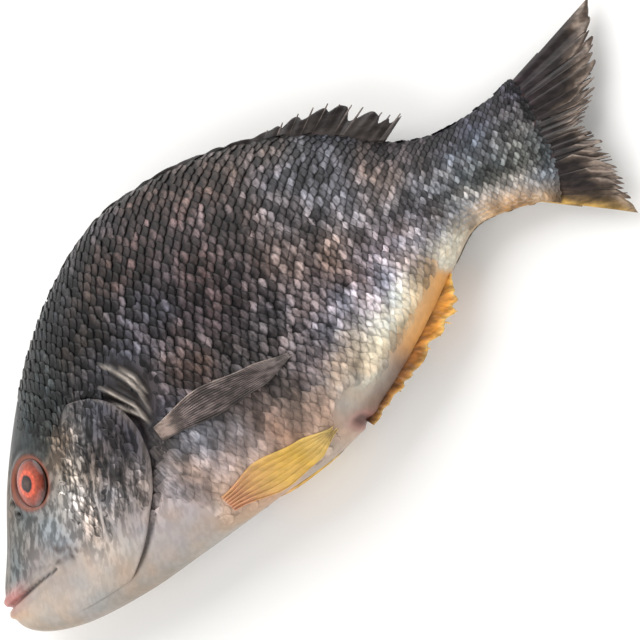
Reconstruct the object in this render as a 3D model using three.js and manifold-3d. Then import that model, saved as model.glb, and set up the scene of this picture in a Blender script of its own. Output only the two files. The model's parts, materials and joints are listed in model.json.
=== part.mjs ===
// A whole raw sea bream lying on its right side, in millimetres, with +Z up.
// The head points to -X, the back to +Y, and the right flank is pressed flat where it rests on the table.
// The origin is the middle of the foot of the bounding box.
import * as THREE from "three";
import { mergeVertices } from "three/addons/utils/BufferGeometryUtils.js";
import Module from "manifold-3d";

const wasm = await Module();
wasm.setup();

// Driving dimensions
const BODY_LENGTH = 250; // snout to the end of the scaled tail root
const BODY_DEPTH = 118; // deepest back to belly, without fins
const BODY_THICKNESS = 41.4; // flank to flank, before the table flattens one
const CLEARANCE = 0.3; // between any two pieces that seat on each other

const EYE_DIAMETER = 17;
const EYE_DEPTH = 9; // how thick the eyeball's lens shape is
const EYE_PROUD = 2.2; // how far its dome stands out of the socket

const MOUTH_LENGTH = 27; // how far the gape runs back from the snout
const MOUTH_GAPE = 1.8; // how far the jaws are parted at the front
const MOUTH_DIP = 3; // how far the corner of the mouth lies below the snout

const GILL_COVER_LENGTH = 30;
const GILL_COVER_THICKNESS = 1.8;
const GILL_COVER_PROUD = 0.5; // its free edge overlaps the shoulder

const FIN_ROOT_THICKNESS = 2.6; // median fins, where they leave the body
const FIN_EDGE_THICKNESS = 1.2; // median fins, at the free edge
const FIN_EMBED = 4; // how deep a median fin's root sits in its slot
const SOFT_DORSAL_HEIGHT = 10.5; // the soft rays; the folded spines ahead of them make a low ridge
const SOFT_DORSAL_SWEEP = 8;
const ANAL_FIN_HEIGHT = 8;
const ANAL_FIN_SWEEP = 3;
const TAIL_UPPER_LOBE_LENGTH = 53; // from the middle of the tail root to the lobe's tip
const TAIL_LOWER_LOBE_LENGTH = 45;
const TAIL_FORK_LENGTH = 21; // from the middle of the tail root to the fork
const TAIL_DROOP = 3; // how far the tail's tips hang below its root

const PECTORAL_LENGTH = 54;
const PECTORAL_WIDTH = 12;
const PELVIC_LENGTH = 42;
const PELVIC_WIDTH = 9;
const PAIRED_FIN_THICKNESS = 1.4;
const PAIRED_FIN_SUNK = 0.6; // the soft flank lets a folded fin in this far

// Stations from snout to tail root. Dorsal and ventral edge as [share of length, share of depth above
// the snout], then the half thickness and the height of the middle plane, both as shares of half the
// thickness.
const STATIONS = [
  { dorsal: [0.0, 0.0], ventral: [0.0, 0.0], half: 0.0, mid: 0.74 },
  { dorsal: [0.004, 0.025], ventral: [0.001, -0.035], half: 0.13, mid: 0.74 },
  { dorsal: [0.014, 0.06], ventral: [0.005, -0.072], half: 0.22, mid: 0.74 },
  { dorsal: [0.052, 0.145], ventral: [0.026, -0.12], half: 0.38, mid: 0.75 },
  { dorsal: [0.118, 0.31], ventral: [0.08, -0.18], half: 0.59, mid: 0.77 },
  { dorsal: [0.218, 0.49], ventral: [0.182, -0.234], half: 0.83, mid: 0.84 },
  { dorsal: [0.316, 0.61], ventral: [0.278, -0.259], half: 0.965, mid: 0.9 },
  { dorsal: [0.436, 0.688], ventral: [0.42, -0.285], half: 1.0, mid: 0.91 },
  { dorsal: [0.55, 0.664], ventral: [0.55, -0.303], half: 0.95, mid: 0.9 },
  { dorsal: [0.684, 0.56], ventral: [0.66, -0.246], half: 0.76, mid: 0.82 },
  { dorsal: [0.776, 0.425], ventral: [0.75, -0.168], half: 0.56, mid: 0.72 },
  { dorsal: [0.838, 0.29], ventral: [0.812, -0.1], half: 0.41, mid: 0.62 },
  { dorsal: [0.89, 0.226], ventral: [0.862, -0.058], half: 0.31, mid: 0.54 },
  { dorsal: [0.942, 0.203], ventral: [0.91, -0.083], half: 0.24, mid: 0.48 },
  { dorsal: [1.0, 0.197], ventral: [0.96, -0.132], half: 0.14, mid: 0.43 },
];
const SECTIONS = 40; // along the body
const RIM = 26; // round each section
const BACK_SHARPNESS = 0.6; // 0.5 is an ellipse; more draws the edge out to a ridge
const BELLY_SHARPNESS = 0.47;

const HALF_THICKNESS = BODY_THICKNESS / 2;
const edgePoint = ([along, up]) => new THREE.Vector3(along * BODY_LENGTH, up * BODY_DEPTH, 0);
const dorsalEdge = new THREE.CatmullRomCurve3(STATIONS.map((s) => edgePoint(s.dorsal)));
const ventralEdge = new THREE.CatmullRomCurve3(STATIONS.map((s) => edgePoint(s.ventral)));
const girth = new THREE.CatmullRomCurve3(
  STATIONS.map((s) => new THREE.Vector3(s.half * HALF_THICKNESS, s.mid * HALF_THICKNESS, 0)),
);

// The body at t along the stations: the middle of the section, half its depth, its half thickness
// and its height.
function section(t) {
  const back = dorsalEdge.getPoint(t);
  const belly = ventralEdge.getPoint(t);
  const { x: half, y: mid } = girth.getPoint(t);
  return {
    centre: back.clone().add(belly).multiplyScalar(0.5).setZ(mid),
    reach: back.sub(belly).multiplyScalar(0.5),
    half: Math.max(half, 0),
  };
}

// A point on the flank. up runs from -1 at the belly to 1 at the back, and side is 1 for left and
// -1 for right.
function flank(t, up, side) {
  const { centre, reach, half } = section(t);
  const sharpness = THREE.MathUtils.lerp(BELLY_SHARPNESS, BACK_SHARPNESS, (up + 1) / 2);
  const bulge = half * Math.max(1 - up * up, 0) ** sharpness;
  return centre.addScaledVector(reach, up).add(new THREE.Vector3(0, 0, side * bulge));
}

// The flank's outward normal, from two short steps on the surface.
function flankNormal(t, up, side) {
  const step = 0.004;
  const along = flank(t + step, up, side).sub(flank(t - step, up, side));
  const across = flank(t, up + step, side).sub(flank(t, up - step, side));
  return along.cross(across).multiplyScalar(side).normalize();
}

// t where the middle of the body is this share of the length from the snout, by halving the range
// that holds it.
const HALVINGS = 30;
function stationAt(share) {
  let low = 0;
  let high = 1;
  for (let i = 0; i < HALVINGS; i += 1) {
    const t = (low + high) / 2;
    if (section(t).centre.x < share * BODY_LENGTH) low = t;
    else high = t;
  }
  return (low + high) / 2;
}

// Closed solid from rings of points. The first and last rings are closed by a zigzag from side to side.
function loft(rings) {
  const count = rings[0].length;
  const faces = [];
  for (let row = 0; row + 1 < rings.length; row += 1) {
    for (let i = 0; i < count; i += 1) {
      const a = row * count + i;
      const b = row * count + ((i + 1) % count);
      faces.push(a, b, a + count, b, b + count, a + count);
    }
  }
  const last = (rings.length - 1) * count;
  for (let i = 0, j = count - 1; i + 1 < j; i += 1, j -= 1) {
    faces.push(i + 1, i, j, last + i, last + i + 1, last + j);
    if (i + 1 < j - 1) faces.push(j - 1, i + 1, j, last + i + 1, last + j - 1, last + j);
  }
  const geometry = new THREE.BufferGeometry().setFromPoints(rings.flat());
  geometry.setIndex(faces);
  return geometry;
}

// A smooth curve through [place, value] pairs, for the outline of a fin.
function profile(points) {
  return (place) => {
    const next = Math.max(1, points.findIndex(([at]) => at >= place));
    const [low, before] = points[next - 1];
    const [high, after] = points[next];
    return THREE.MathUtils.lerp(before, after, THREE.MathUtils.smoothstep(place, low, high));
  };
}

function toSolid(geometry) {
  const bare = new THREE.BufferGeometry();
  bare.setAttribute("position", geometry.getAttribute("position"));
  if (geometry.index) bare.setIndex(geometry.index);
  const merged = mergeVertices(bare.index ? bare.toNonIndexed() : bare, 1e-3);
  const solid = new wasm.Manifold(
    new wasm.Mesh({
      numProp: 3,
      vertProperties: merged.attributes.position.array,
      triVerts: new Uint32Array(merged.index.array),
    }),
  );
  if (solid.volume() > 0) return solid;
  const turned = new Uint32Array(merged.index.array);
  for (let i = 0; i < turned.length; i += 3) [turned[i], turned[i + 1]] = [turned[i + 1], turned[i]];
  return new wasm.Manifold(
    new wasm.Mesh({ numProp: 3, vertProperties: merged.attributes.position.array, triVerts: turned }),
  );
}

function toGeometry(solid) {
  const mesh = solid.getMesh();
  const geometry = new THREE.BufferGeometry();
  geometry.setAttribute("position", new THREE.BufferAttribute(new Float32Array(mesh.vertProperties), 3));
  geometry.setIndex(new THREE.BufferAttribute(new Uint32Array(mesh.triVerts), 1));
  geometry.computeVertexNormals();
  return geometry;
}

// A thin sheet between a root line and a free edge. place(u, v, face) gives the point at u along the
// root, v from root to edge, on the upper face (1) or the lower face (-1). grow widens the sheet to
// cut its slot.
function sheet(place, acrossSteps, alongSteps) {
  const rings = [];
  for (let i = 0; i <= alongSteps; i += 1) {
    const ring = [];
    for (let j = 0; j <= acrossSteps; j += 1) ring.push(place(i / alongSteps, j / acrossSteps, 1));
    for (let j = acrossSteps; j >= 0; j -= 1) ring.push(place(i / alongSteps, j / acrossSteps, -1));
    rings.push(ring);
  }
  return toSolid(loft(rings));
}

const SNOUT_START = 0.004; // leaves a small flat snout for the first ring's cap
function bodySolid() {
  const rings = [];
  for (let i = 0; i <= SECTIONS; i += 1) {
    const t = SNOUT_START + (1 - SNOUT_START) * (i / SECTIONS);
    const ring = [];
    for (let j = 0; j < RIM; j += 1) {
      const turn = (j / RIM) * Math.PI * 2;
      ring.push(flank(t, Math.cos(turn), Math.sin(turn) >= 0 ? 1 : -1));
    }
    rings.push(ring);
  }
  return toSolid(loft(rings));
}

// The table: everything below z = 0 is cut away, which leaves the flat patch that the fish rests on.
function tableSolid() {
  const slab = new THREE.BoxGeometry(BODY_LENGTH * 2, BODY_DEPTH * 3, BODY_THICKNESS);
  slab.translate(BODY_LENGTH / 2, 0, -BODY_THICKNESS / 2);
  return toSolid(slab);
}

// The parted jaws: a thin wedge from the snout down to the corner of the mouth, right through the head.
const MOUTH_OVERSHOOT = 5; // the cut starts ahead of the snout
const MOUTH_BOW = 0.3; // the gape still open halfway along, as a share of the gape in front
function mouthSolid() {
  const gape = MOUTH_GAPE / 2;
  const halfway = { x: MOUTH_LENGTH / 2, y: -MOUTH_DIP / 3 };
  const wedge = new THREE.Shape();
  wedge.moveTo(-MOUTH_OVERSHOOT, gape);
  wedge.lineTo(halfway.x, halfway.y + gape * MOUTH_BOW);
  wedge.lineTo(MOUTH_LENGTH, -MOUTH_DIP);
  wedge.lineTo(halfway.x, halfway.y - gape * MOUTH_BOW);
  wedge.lineTo(-MOUTH_OVERSHOOT, -gape);
  return toSolid(new THREE.ExtrudeGeometry(wedge, { depth: BODY_THICKNESS * 2, bevelEnabled: false }));
}

// An eyeball: a lens-shaped ball facing out along the flank's normal.
const EYE_AT = 0.154; // share of length
const EYE_UP = 0.336;
const EYE_TURNS = 20;
function eyeSolid(side, grow) {
  const t = stationAt(EYE_AT);
  const outward = flankNormal(t, EYE_UP, side);
  const centre = flank(t, EYE_UP, side).addScaledVector(outward, EYE_PROUD - EYE_DEPTH / 2);
  const ball = new THREE.SphereGeometry(1, EYE_TURNS, EYE_TURNS / 2);
  ball.rotateX(Math.PI / 2); // the sphere's poles on the optical axis
  ball.scale(EYE_DIAMETER / 2 + grow, EYE_DIAMETER / 2 + grow, EYE_DEPTH / 2 + grow);
  const turn = new THREE.Quaternion().setFromUnitVectors(new THREE.Vector3(0, 0, 1), outward);
  ball.applyQuaternion(turn);
  ball.translate(centre.x, centre.y, centre.z);
  return toSolid(ball);
}

// A plate that follows the flank from one station to another, between two heights that may change along it.
// Where the table presses on it, the plate is pushed up into the flesh. A grown plate cuts the
// recess for the real one.
function flankPlate({ side, from, to, top, bottom, proud, thickness, grow, steps }) {
  const cutAbove = grow > 0 ? thickness * 2 : 0;
  return sheet(
    (u, v, face) => {
      const t = THREE.MathUtils.lerp(from(v), to(v), u);
      const up = THREE.MathUtils.lerp(bottom(u), top(u), v);
      const skin = flank(t, up, side);
      const pressed = side < 0 ? Math.max(0, proud(u) - skin.z) : 0;
      const offset = face > 0 ? proud(u) + cutAbove : proud(u) - thickness - grow;
      return skin.addScaledVector(flankNormal(t, up, side), offset).add(new THREE.Vector3(0, 0, pressed));
    },
    steps.across,
    steps.along,
  );
}

// A recess is longer and wider than its plate by a few times the clearance, since the plate's edges
// run aslant.
const alongShare = (grow) => (grow * 3) / BODY_LENGTH;
const acrossShare = (grow) => (grow * 4) / BODY_DEPTH;

// The gill cover: a bony plate behind the cheek. Its free edge curls forward at the top and sweeps forward
// under the throat.
const GILL_EDGE_AT = 0.358; // share of length of its rearmost point
const GILL_TOP = 0.3;
const GILL_BOTTOM = -0.89;
const GILL_THROAT_SWEEP = { reach: 0.1, power: 4.5 }; // in stations
const GILL_CREST_CURL = { reach: 0.05, power: 6 };
function gillCover(side, grow) {
  const front = stationAt(GILL_EDGE_AT - GILL_COVER_LENGTH / BODY_LENGTH);
  const rear = stationAt(GILL_EDGE_AT);
  // The recess bends at the same heights as the cover, although it reaches further up and down.
  const margin = acrossShare(grow) / (GILL_TOP - GILL_BOTTOM);
  const height = (v) => THREE.MathUtils.clamp(THREE.MathUtils.lerp(-margin, 1 + margin, v), -margin, 1);
  const throat = (v) => GILL_THROAT_SWEEP.reach * (1 - height(v)) ** GILL_THROAT_SWEEP.power;
  const crest = (v) => GILL_CREST_CURL.reach * Math.max(height(v), 0) ** GILL_CREST_CURL.power;
  return flankPlate({
    side,
    from: (v) => front - alongShare(grow) - throat(v),
    to: (v) => rear + alongShare(grow) - throat(v) - crest(v),
    top: () => GILL_TOP + acrossShare(grow),
    bottom: () => GILL_BOTTOM - acrossShare(grow),
    proud: (u) => GILL_COVER_PROUD * u,
    thickness: GILL_COVER_THICKNESS,
    grow,
    steps: { across: 14, along: 6 },
  });
}

// A paired fin folded back along the flank, from a narrow root through a broad middle to a pointed tip.
const PAIRED_FIN_OUTLINE = profile([
  [0, 0.5],
  [0.35, 1],
  [0.7, 0.72],
  [1, 0.14],
]);
function pairedFin({ side, at, up, dip, length, width, grow }) {
  const root = stationAt(at);
  const tip = stationAt(at + length / BODY_LENGTH);
  const halfWidth = (u) => (PAIRED_FIN_OUTLINE(u) * width) / BODY_DEPTH + acrossShare(grow);
  const middle = (u) => up - dip * u;
  return flankPlate({
    side,
    from: () => root - alongShare(grow),
    to: () => tip + alongShare(grow),
    top: (u) => middle(u) + halfWidth(u),
    bottom: (u) => middle(u) - halfWidth(u),
    proud: () => PAIRED_FIN_THICKNESS - PAIRED_FIN_SUNK,
    thickness: PAIRED_FIN_THICKNESS,
    grow,
    steps: { across: 3, along: 10 },
  });
}
const PECTORAL_AT = 0.372; // share of length of its root
const PECTORAL_UP = -0.33;
const PECTORAL_DIP = 0.12; // how much lower its tip lies
const PELVIC_AT = 0.392;
const PELVIC_UP = -0.87;
const PELVIC_DIP = 0.05;
function pectoral(side, grow) {
  const fold = { at: PECTORAL_AT, up: PECTORAL_UP, dip: PECTORAL_DIP };
  return pairedFin({ side, ...fold, length: PECTORAL_LENGTH, width: PECTORAL_WIDTH, grow });
}
function pelvic(side, grow) {
  const fold = { at: PELVIC_AT, up: PELVIC_UP, dip: PELVIC_DIP };
  return pairedFin({ side, ...fold, length: PELVIC_LENGTH, width: PELVIC_WIDTH, grow });
}

// A median fin along the back or the belly: root(u) and edge(u) lie in the fish's middle plane.
function medianFin(root, edge, grow, steps) {
  return sheet(
    (u, v, face) => {
      const p = root(u).lerp(edge(u), v);
      const half = THREE.MathUtils.lerp(FIN_ROOT_THICKNESS, FIN_EDGE_THICKNESS, v) / 2 + grow;
      return p.add(new THREE.Vector3(0, 0, face * half));
    },
    2,
    steps,
  );
}

// A point off the back (1) or belly (-1) edge at t: out is the distance away from the body, back
// the sweep to the tail.
function offEdge(t, which, out, back) {
  const { centre, reach } = section(t);
  const tangent = (which > 0 ? dorsalEdge : ventralEdge).getTangent(t).setZ(0).normalize();
  const outward = new THREE.Vector3(-tangent.y, tangent.x, 0).multiplyScalar(which);
  return centre.addScaledVector(reach, which).addScaledVector(outward, out).addScaledVector(tangent, back);
}

// A fin rooted along an edge of the body between two shares of its length. outline gives the height
// and the sweep at each share of the fin's own length, as shares of the height and sweep given.
function edgeFin({ which, from, to, outline, height, sweep, grow, steps }) {
  const first = stationAt(from) - alongShare(grow);
  const last = stationAt(to) + alongShare(grow);
  const station = (u) => THREE.MathUtils.lerp(first, last, u);
  return medianFin(
    (u) => offEdge(station(u), which, -FIN_EMBED - grow, 0),
    (u) => offEdge(station(u), which, height * outline(u) + grow, sweep * outline(u)),
    grow,
    steps,
  );
}

// One fin runs the length of the back: spines folded into a low ridge, then the raised soft part.
const DORSAL_FROM = 0.3;
const DORSAL_TO = 0.814;
const DORSAL_OUTLINE = profile([
  [0, 0.05],
  [0.12, 0.1],
  [0.6, 0.14],
  [0.8, 1],
  [1, 0.95],
]);
function dorsalFin(grow) {
  const span = { which: 1, from: DORSAL_FROM, to: DORSAL_TO, outline: DORSAL_OUTLINE };
  return edgeFin({ ...span, height: SOFT_DORSAL_HEIGHT, sweep: SOFT_DORSAL_SWEEP, grow, steps: 24 });
}

// The anal fin starts behind the vent, folded low, and rises into a small lobe.
const ANAL_FROM = 0.59;
const ANAL_TO = 0.81;
const ANAL_OUTLINE = profile([
  [0, 0.32],
  [0.45, 0.62],
  [0.7, 1],
  [1, 0.12],
]);
function analFin(grow) {
  const span = { which: -1, from: ANAL_FROM, to: ANAL_TO, outline: ANAL_OUTLINE };
  return edgeFin({ ...span, height: ANAL_FIN_HEIGHT, sweep: ANAL_FIN_SWEEP, grow, steps: 14 });
}

// The tail fin fans out from the tail root in two lobes with a fork between them.
const TAIL_AXIS_DEG = -21;
const TAIL_HALF_SPREAD_DEG = 48;
const TAIL_FORK_POWER = 0.7; // under 1 hollows the fork out
const TAIL_ROOT_INSET = 8; // how far its root sits inside the tail root
const TAIL_ROOT_SPAN = 0.86; // of the tail root's depth
function tailFin(grow) {
  const end = section(1);
  const inside = section(1 - (TAIL_ROOT_INSET + grow) / BODY_LENGTH);
  const rootSpan = TAIL_ROOT_SPAN + grow / inside.reach.length();
  const halfSpread = TAIL_HALF_SPREAD_DEG + THREE.MathUtils.radToDeg(grow / TAIL_FORK_LENGTH);
  const height = end.centre.z;
  return medianFin(
    (u) => inside.centre.clone().setZ(height).addScaledVector(inside.reach, (1 - 2 * u) * rootSpan),
    (u) => {
      const fan = 1 - 2 * u;
      const angle = THREE.MathUtils.degToRad(TAIL_AXIS_DEG + halfSpread * fan);
      const lobe = fan > 0 ? TAIL_UPPER_LOBE_LENGTH : TAIL_LOWER_LOBE_LENGTH;
      const forkDepth = (lobe - TAIL_FORK_LENGTH) * (1 - Math.abs(fan)) ** TAIL_FORK_POWER;
      const radius = lobe - forkDepth + grow;
      const spread = new THREE.Vector3(Math.cos(angle), Math.sin(angle), 0).multiplyScalar(radius);
      return end.centre.clone().add(spread).setZ(height - (TAIL_DROOP * radius) / lobe);
    },
    grow,
    18,
  );
}

// Colours of the pieces
const SKIN = new THREE.MeshStandardMaterial({ color: 0x5a5558, roughness: 0.35, metalness: 0.1 });
const CHEEK = new THREE.MeshStandardMaterial({ color: 0x9a9c9b, roughness: 0.3, metalness: 0.2 });
const EYE = new THREE.MeshStandardMaterial({ color: 0xb5402c, roughness: 0.08, metalness: 0 });
const DARK_FIN = new THREE.MeshStandardMaterial({ color: 0x38312f, roughness: 0.45, metalness: 0 });
const YELLOW_FIN = new THREE.MeshStandardMaterial({ color: 0xc79a45, roughness: 0.45, metalness: 0 });
const CLEAR_FIN = new THREE.MeshStandardMaterial({ color: 0x7d6f63, roughness: 0.4, metalness: 0 });

const LEFT = 1;
const RIGHT = -1;
const PIECES = [
  { name: "left_gill_cover", make: (grow) => gillCover(LEFT, grow), material: CHEEK },
  { name: "right_gill_cover", make: (grow) => gillCover(RIGHT, grow), material: CHEEK },
  { name: "left_eye", make: (grow) => eyeSolid(LEFT, grow), material: EYE },
  { name: "right_eye", make: (grow) => eyeSolid(RIGHT, grow), material: EYE },
  { name: "left_pectoral_fin", make: (grow) => pectoral(LEFT, grow), material: CLEAR_FIN },
  { name: "right_pectoral_fin", make: (grow) => pectoral(RIGHT, grow), material: CLEAR_FIN },
  { name: "left_pelvic_fin", make: (grow) => pelvic(LEFT, grow), material: YELLOW_FIN },
  { name: "right_pelvic_fin", make: (grow) => pelvic(RIGHT, grow), material: YELLOW_FIN },
  { name: "dorsal_fin", make: dorsalFin, material: DARK_FIN },
  { name: "anal_fin", make: analFin, material: YELLOW_FIN },
  { name: "tail_fin", make: tailFin, material: DARK_FIN },
];

const table = tableSolid();
let body = bodySolid().subtract(mouthSolid()).subtract(table);
const solids = PIECES.map(({ name, make, material }) => {
  body = body.subtract(make(CLEARANCE)); // each piece sits in a recess one clearance wider than itself
  return { name, material, solid: make(0).subtract(table) };
});
solids.unshift({ name: "body", material: SKIN, solid: body });

const fish = new THREE.Group();
solids.forEach(({ name, material, solid }) => {
  const mesh = new THREE.Mesh(toGeometry(solid), material);
  mesh.name = name;
  fish.add(mesh);
});
const bounds = new THREE.Box3().setFromObject(fish);
const middle = bounds.getCenter(new THREE.Vector3());
fish.position.set(-middle.x, -middle.y, -bounds.min.z);

export default fish;
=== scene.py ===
# %% [markdown]
# # A whole raw sea bream
# A sea bream is a deep, flat-sided fish. Here it lies on its right flank, head to -X and back to +Y.
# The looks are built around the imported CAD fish: every piece below takes its place from that frame, and each
# one stands in for a CAD node or lies on one. Lengths are thought of in millimetres, as on a fishmonger's
# slab, and turned into metres only when a mesh is made.

import json
import math

import bmesh
import bpy
import mathutils
import numpy as np
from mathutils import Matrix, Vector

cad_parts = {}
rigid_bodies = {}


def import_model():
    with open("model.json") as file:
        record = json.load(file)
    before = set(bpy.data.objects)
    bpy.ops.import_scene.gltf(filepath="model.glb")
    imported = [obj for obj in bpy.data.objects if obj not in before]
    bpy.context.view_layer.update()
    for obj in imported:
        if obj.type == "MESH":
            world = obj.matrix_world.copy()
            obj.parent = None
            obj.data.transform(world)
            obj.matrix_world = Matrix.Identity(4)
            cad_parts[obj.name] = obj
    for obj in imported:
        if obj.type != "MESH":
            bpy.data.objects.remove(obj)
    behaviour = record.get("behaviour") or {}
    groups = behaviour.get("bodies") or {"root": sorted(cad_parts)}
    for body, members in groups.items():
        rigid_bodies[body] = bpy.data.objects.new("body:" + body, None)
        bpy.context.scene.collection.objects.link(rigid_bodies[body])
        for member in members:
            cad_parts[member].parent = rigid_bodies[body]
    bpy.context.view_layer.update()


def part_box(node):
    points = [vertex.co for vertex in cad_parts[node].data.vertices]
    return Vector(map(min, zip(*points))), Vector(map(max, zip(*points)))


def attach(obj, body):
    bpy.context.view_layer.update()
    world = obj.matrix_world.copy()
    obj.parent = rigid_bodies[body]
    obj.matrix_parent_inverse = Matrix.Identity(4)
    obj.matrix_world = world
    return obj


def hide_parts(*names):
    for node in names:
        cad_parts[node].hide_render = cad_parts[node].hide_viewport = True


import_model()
MM = 0.001

# %% [markdown]
# ## The shape of the body
# A fish's body is a smooth tube that changes from section to section. Boat builders draw such a shape as
# stations: at each one, where the back is, where the belly is, and how thick the body is. A curve through the
# stations gives every section between them. These are the CAD body's own stations, so the skin made from them
# sits exactly where the CAD solid is, and pieces such as scales can be told apart by two "fish coordinates":
# how far along the fish they are, and how far up the flank.

# %% Stations of the body
BODY_LENGTH, BODY_DEPTH, BODY_THICKNESS = 250, 118, 41.4
# Each row: back (along, up), belly (along, up), half thickness, height of the middle plane.
# Along is a share of the length, up a share of the depth, the last two shares of half the thickness.
STATIONS = np.array([
    (0.0, 0.0, 0.0, 0.0, 0.0, 0.74),
    (0.004, 0.025, 0.001, -0.035, 0.13, 0.74),
    (0.014, 0.06, 0.005, -0.072, 0.22, 0.74),
    (0.052, 0.145, 0.026, -0.12, 0.38, 0.75),
    (0.118, 0.31, 0.08, -0.18, 0.59, 0.77),
    (0.218, 0.49, 0.182, -0.234, 0.83, 0.84),
    (0.316, 0.61, 0.278, -0.259, 0.965, 0.9),
    (0.436, 0.688, 0.42, -0.285, 1.0, 0.91),
    (0.55, 0.664, 0.55, -0.303, 0.95, 0.9),
    (0.684, 0.56, 0.66, -0.246, 0.76, 0.82),
    (0.776, 0.425, 0.75, -0.168, 0.56, 0.72),
    (0.838, 0.29, 0.812, -0.1, 0.41, 0.62),
    (0.89, 0.226, 0.862, -0.058, 0.31, 0.54),
    (0.942, 0.203, 0.91, -0.083, 0.24, 0.48),
    (1.0, 0.197, 0.96, -0.132, 0.14, 0.43),
])
BACK_LINE = STATIONS[:, 0:2] * (BODY_LENGTH, BODY_DEPTH)
BELLY_LINE = STATIONS[:, 2:4] * (BODY_LENGTH, BODY_DEPTH)
GIRTH = STATIONS[:, 4:6] * BODY_THICKNESS / 2
print("stations:", len(STATIONS), "- thickest, mm:", 2 * GIRTH[:, 0].max().round(1))


# %% The curve through the stations
def smooth(points, t):
    """The centripetal Catmull-Rom curve through points, at t from 0 to 1 (any array shape)."""
    last = len(points) - 1
    t = np.clip(np.asarray(t, float), 0, 1)
    i = np.minimum((t * last).astype(int), last - 1)
    w = (t * last - i)[..., None]
    ends = np.vstack([2 * points[0] - points[1], points, 2 * points[-1] - points[-2]])
    p0, p1, p2, p3 = (ends[i + k] for k in range(4))

    def gap(a, b):
        return np.maximum(((a - b) ** 2).sum(-1, keepdims=True) ** 0.25, 1e-6)

    d0, d1, d2 = gap(p0, p1), gap(p1, p2), gap(p2, p3)
    m1 = ((p1 - p0) / d0 - (p2 - p0) / (d0 + d1) + (p2 - p1) / d1) * d1
    m2 = ((p2 - p1) / d1 - (p3 - p1) / (d1 + d2) + (p3 - p2) / d2) * d1
    return p1 + m1 * w + (3 * (p2 - p1) - 2 * m1 - m2) * w**2 + (2 * (p1 - p2) + m1 + m2) * w**3


def section(t):
    """The middle of the section at t, half its depth as a vector, and its half thickness."""
    back, belly, girth = smooth(BACK_LINE, t), smooth(BELLY_LINE, t), smooth(GIRTH, t)
    centre = np.concatenate([(back + belly) / 2, girth[..., 1:2]], -1)
    reach = np.concatenate([(back - belly) / 2, np.zeros_like(girth[..., :1])], -1)
    return centre, reach, np.maximum(girth[..., 0:1], 0)


halfway = section(0.5)
print("the body halfway is", (2 * np.linalg.norm(halfway[1])).round(1), "mm deep")

# %% [markdown]
# A section isn't an ellipse: the back is a sharper ridge than the belly, so the power that rounds it changes with
# the height. From the skin's formula come its normal and its direction tailward, which plant scales and fins.

# %% The skin's formula
BACK_SHARPNESS, BELLY_SHARPNESS = 0.6, 0.47


def flank(t, up, side):
    """A point on the skin: up is -1 at the belly and 1 at the back, side is 1 for left and -1 for right."""
    centre, reach, half = section(t)
    up = np.asarray(up, float)[..., None]
    side = np.asarray(side, float)[..., None]
    power = BELLY_SHARPNESS + (BACK_SHARPNESS - BELLY_SHARPNESS) * (up + 1) / 2
    bulge = half * np.maximum(1 - up**2, 0) ** power
    return centre + reach * up + np.array([0, 0, 1.0]) * side * bulge


def unit(v):
    return v / np.maximum(np.linalg.norm(v, axis=-1, keepdims=True), 1e-9)


def tailward(t, up, side):
    return unit(flank(t + 0.004, up, side) - flank(t - 0.004, up, side))


def outward(t, up, side):
    """The skin's outward normal."""
    inner = np.clip(up, -0.985, 0.985)
    across = flank(t, inner + 0.01, side) - flank(t, inner - 0.01, side)
    along = flank(t + 0.004, inner, side) - flank(t - 0.004, inner, side)
    return unit(np.cross(along, across) * np.asarray(side, float)[..., None])


def at_share(share):
    """t where the middle of the section is this share of the length from the snout."""
    fine = np.linspace(0, 1, 2001)
    return np.interp(share, section(fine)[0][:, 0] / BODY_LENGTH, fine)


print("outward in the middle of the left flank:", outward(np.array(0.5), np.array(0.0), 1).round(2))

# %% [markdown]
# ## The frame's own place
# The CAD fish is shifted so that its box stands on the origin. The same shift is measured from the CAD body.

# %% Where the stations lie in the frame
rough_t, rough_turn = np.meshgrid(np.linspace(0, 1, 400), np.linspace(0, 2 * math.pi, 200))
rough = flank(rough_t, np.cos(rough_turn), np.where(np.sin(rough_turn) >= 0, 1, -1)).reshape(-1, 3)
low, high = (np.array(corner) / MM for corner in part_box("body"))
SHIFT = (low + high) / 2 - (rough.min(0) + rough.max(0)) / 2
SHIFT[2] = 0
print("the stations are shifted by, mm:", SHIFT.round(2))


# %% [markdown]
# ## Making meshes
# Two kinds of mesh cover the whole fish. A closed tube of rings makes the skin and every thin plate. A cloud
# of loose points, each with its own directions, tells Geometry Nodes where a scale goes.

# %% Mesh helpers
def make_mesh(name, points, faces, edges=(), material=None, values=None):
    """A mesh object at the origin from points in millimetres, with float or vector values on its points."""
    placed = (np.asarray(points, float).reshape(-1, 3) + SHIFT) * MM
    placed[:, 2] = np.maximum(placed[:, 2], 0)  # nothing goes below the table
    mesh = bpy.data.meshes.new(name)
    mesh.from_pydata(placed.tolist(), list(edges), [list(map(int, f)) for f in faces])
    for key, value in (values or {}).items():
        value = np.asarray(value, np.float32)
        vector = value.ndim > 1 and value.shape[-1] == 3
        layer = mesh.attributes.new(key, "FLOAT_VECTOR" if vector else "FLOAT", "POINT")
        layer.data.foreach_set("vector" if vector else "value", value.ravel())
    if faces:
        mesh.polygons.foreach_set("use_smooth", [True] * len(mesh.polygons))
    mesh.update()
    mesh.validate()
    obj = bpy.data.objects.new(name, mesh)
    bpy.context.scene.collection.objects.link(obj)
    if material:
        mesh.materials.append(material)
    return obj


print("meshes are moved by, mm, and scaled by:", SHIFT.round(1), MM)


# %% Closed shells
def grid_faces(rows, columns, wrap=False):
    """Quads between rows of points. wrap joins the last column to the first."""
    r = np.arange(rows - 1)[:, None] * columns
    c = np.arange(columns if wrap else columns - 1)[None, :]
    n = (c + 1) % columns
    return np.stack([r + c, r + n, r + columns + n, r + columns + c], -1).reshape(-1, 4)


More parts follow.
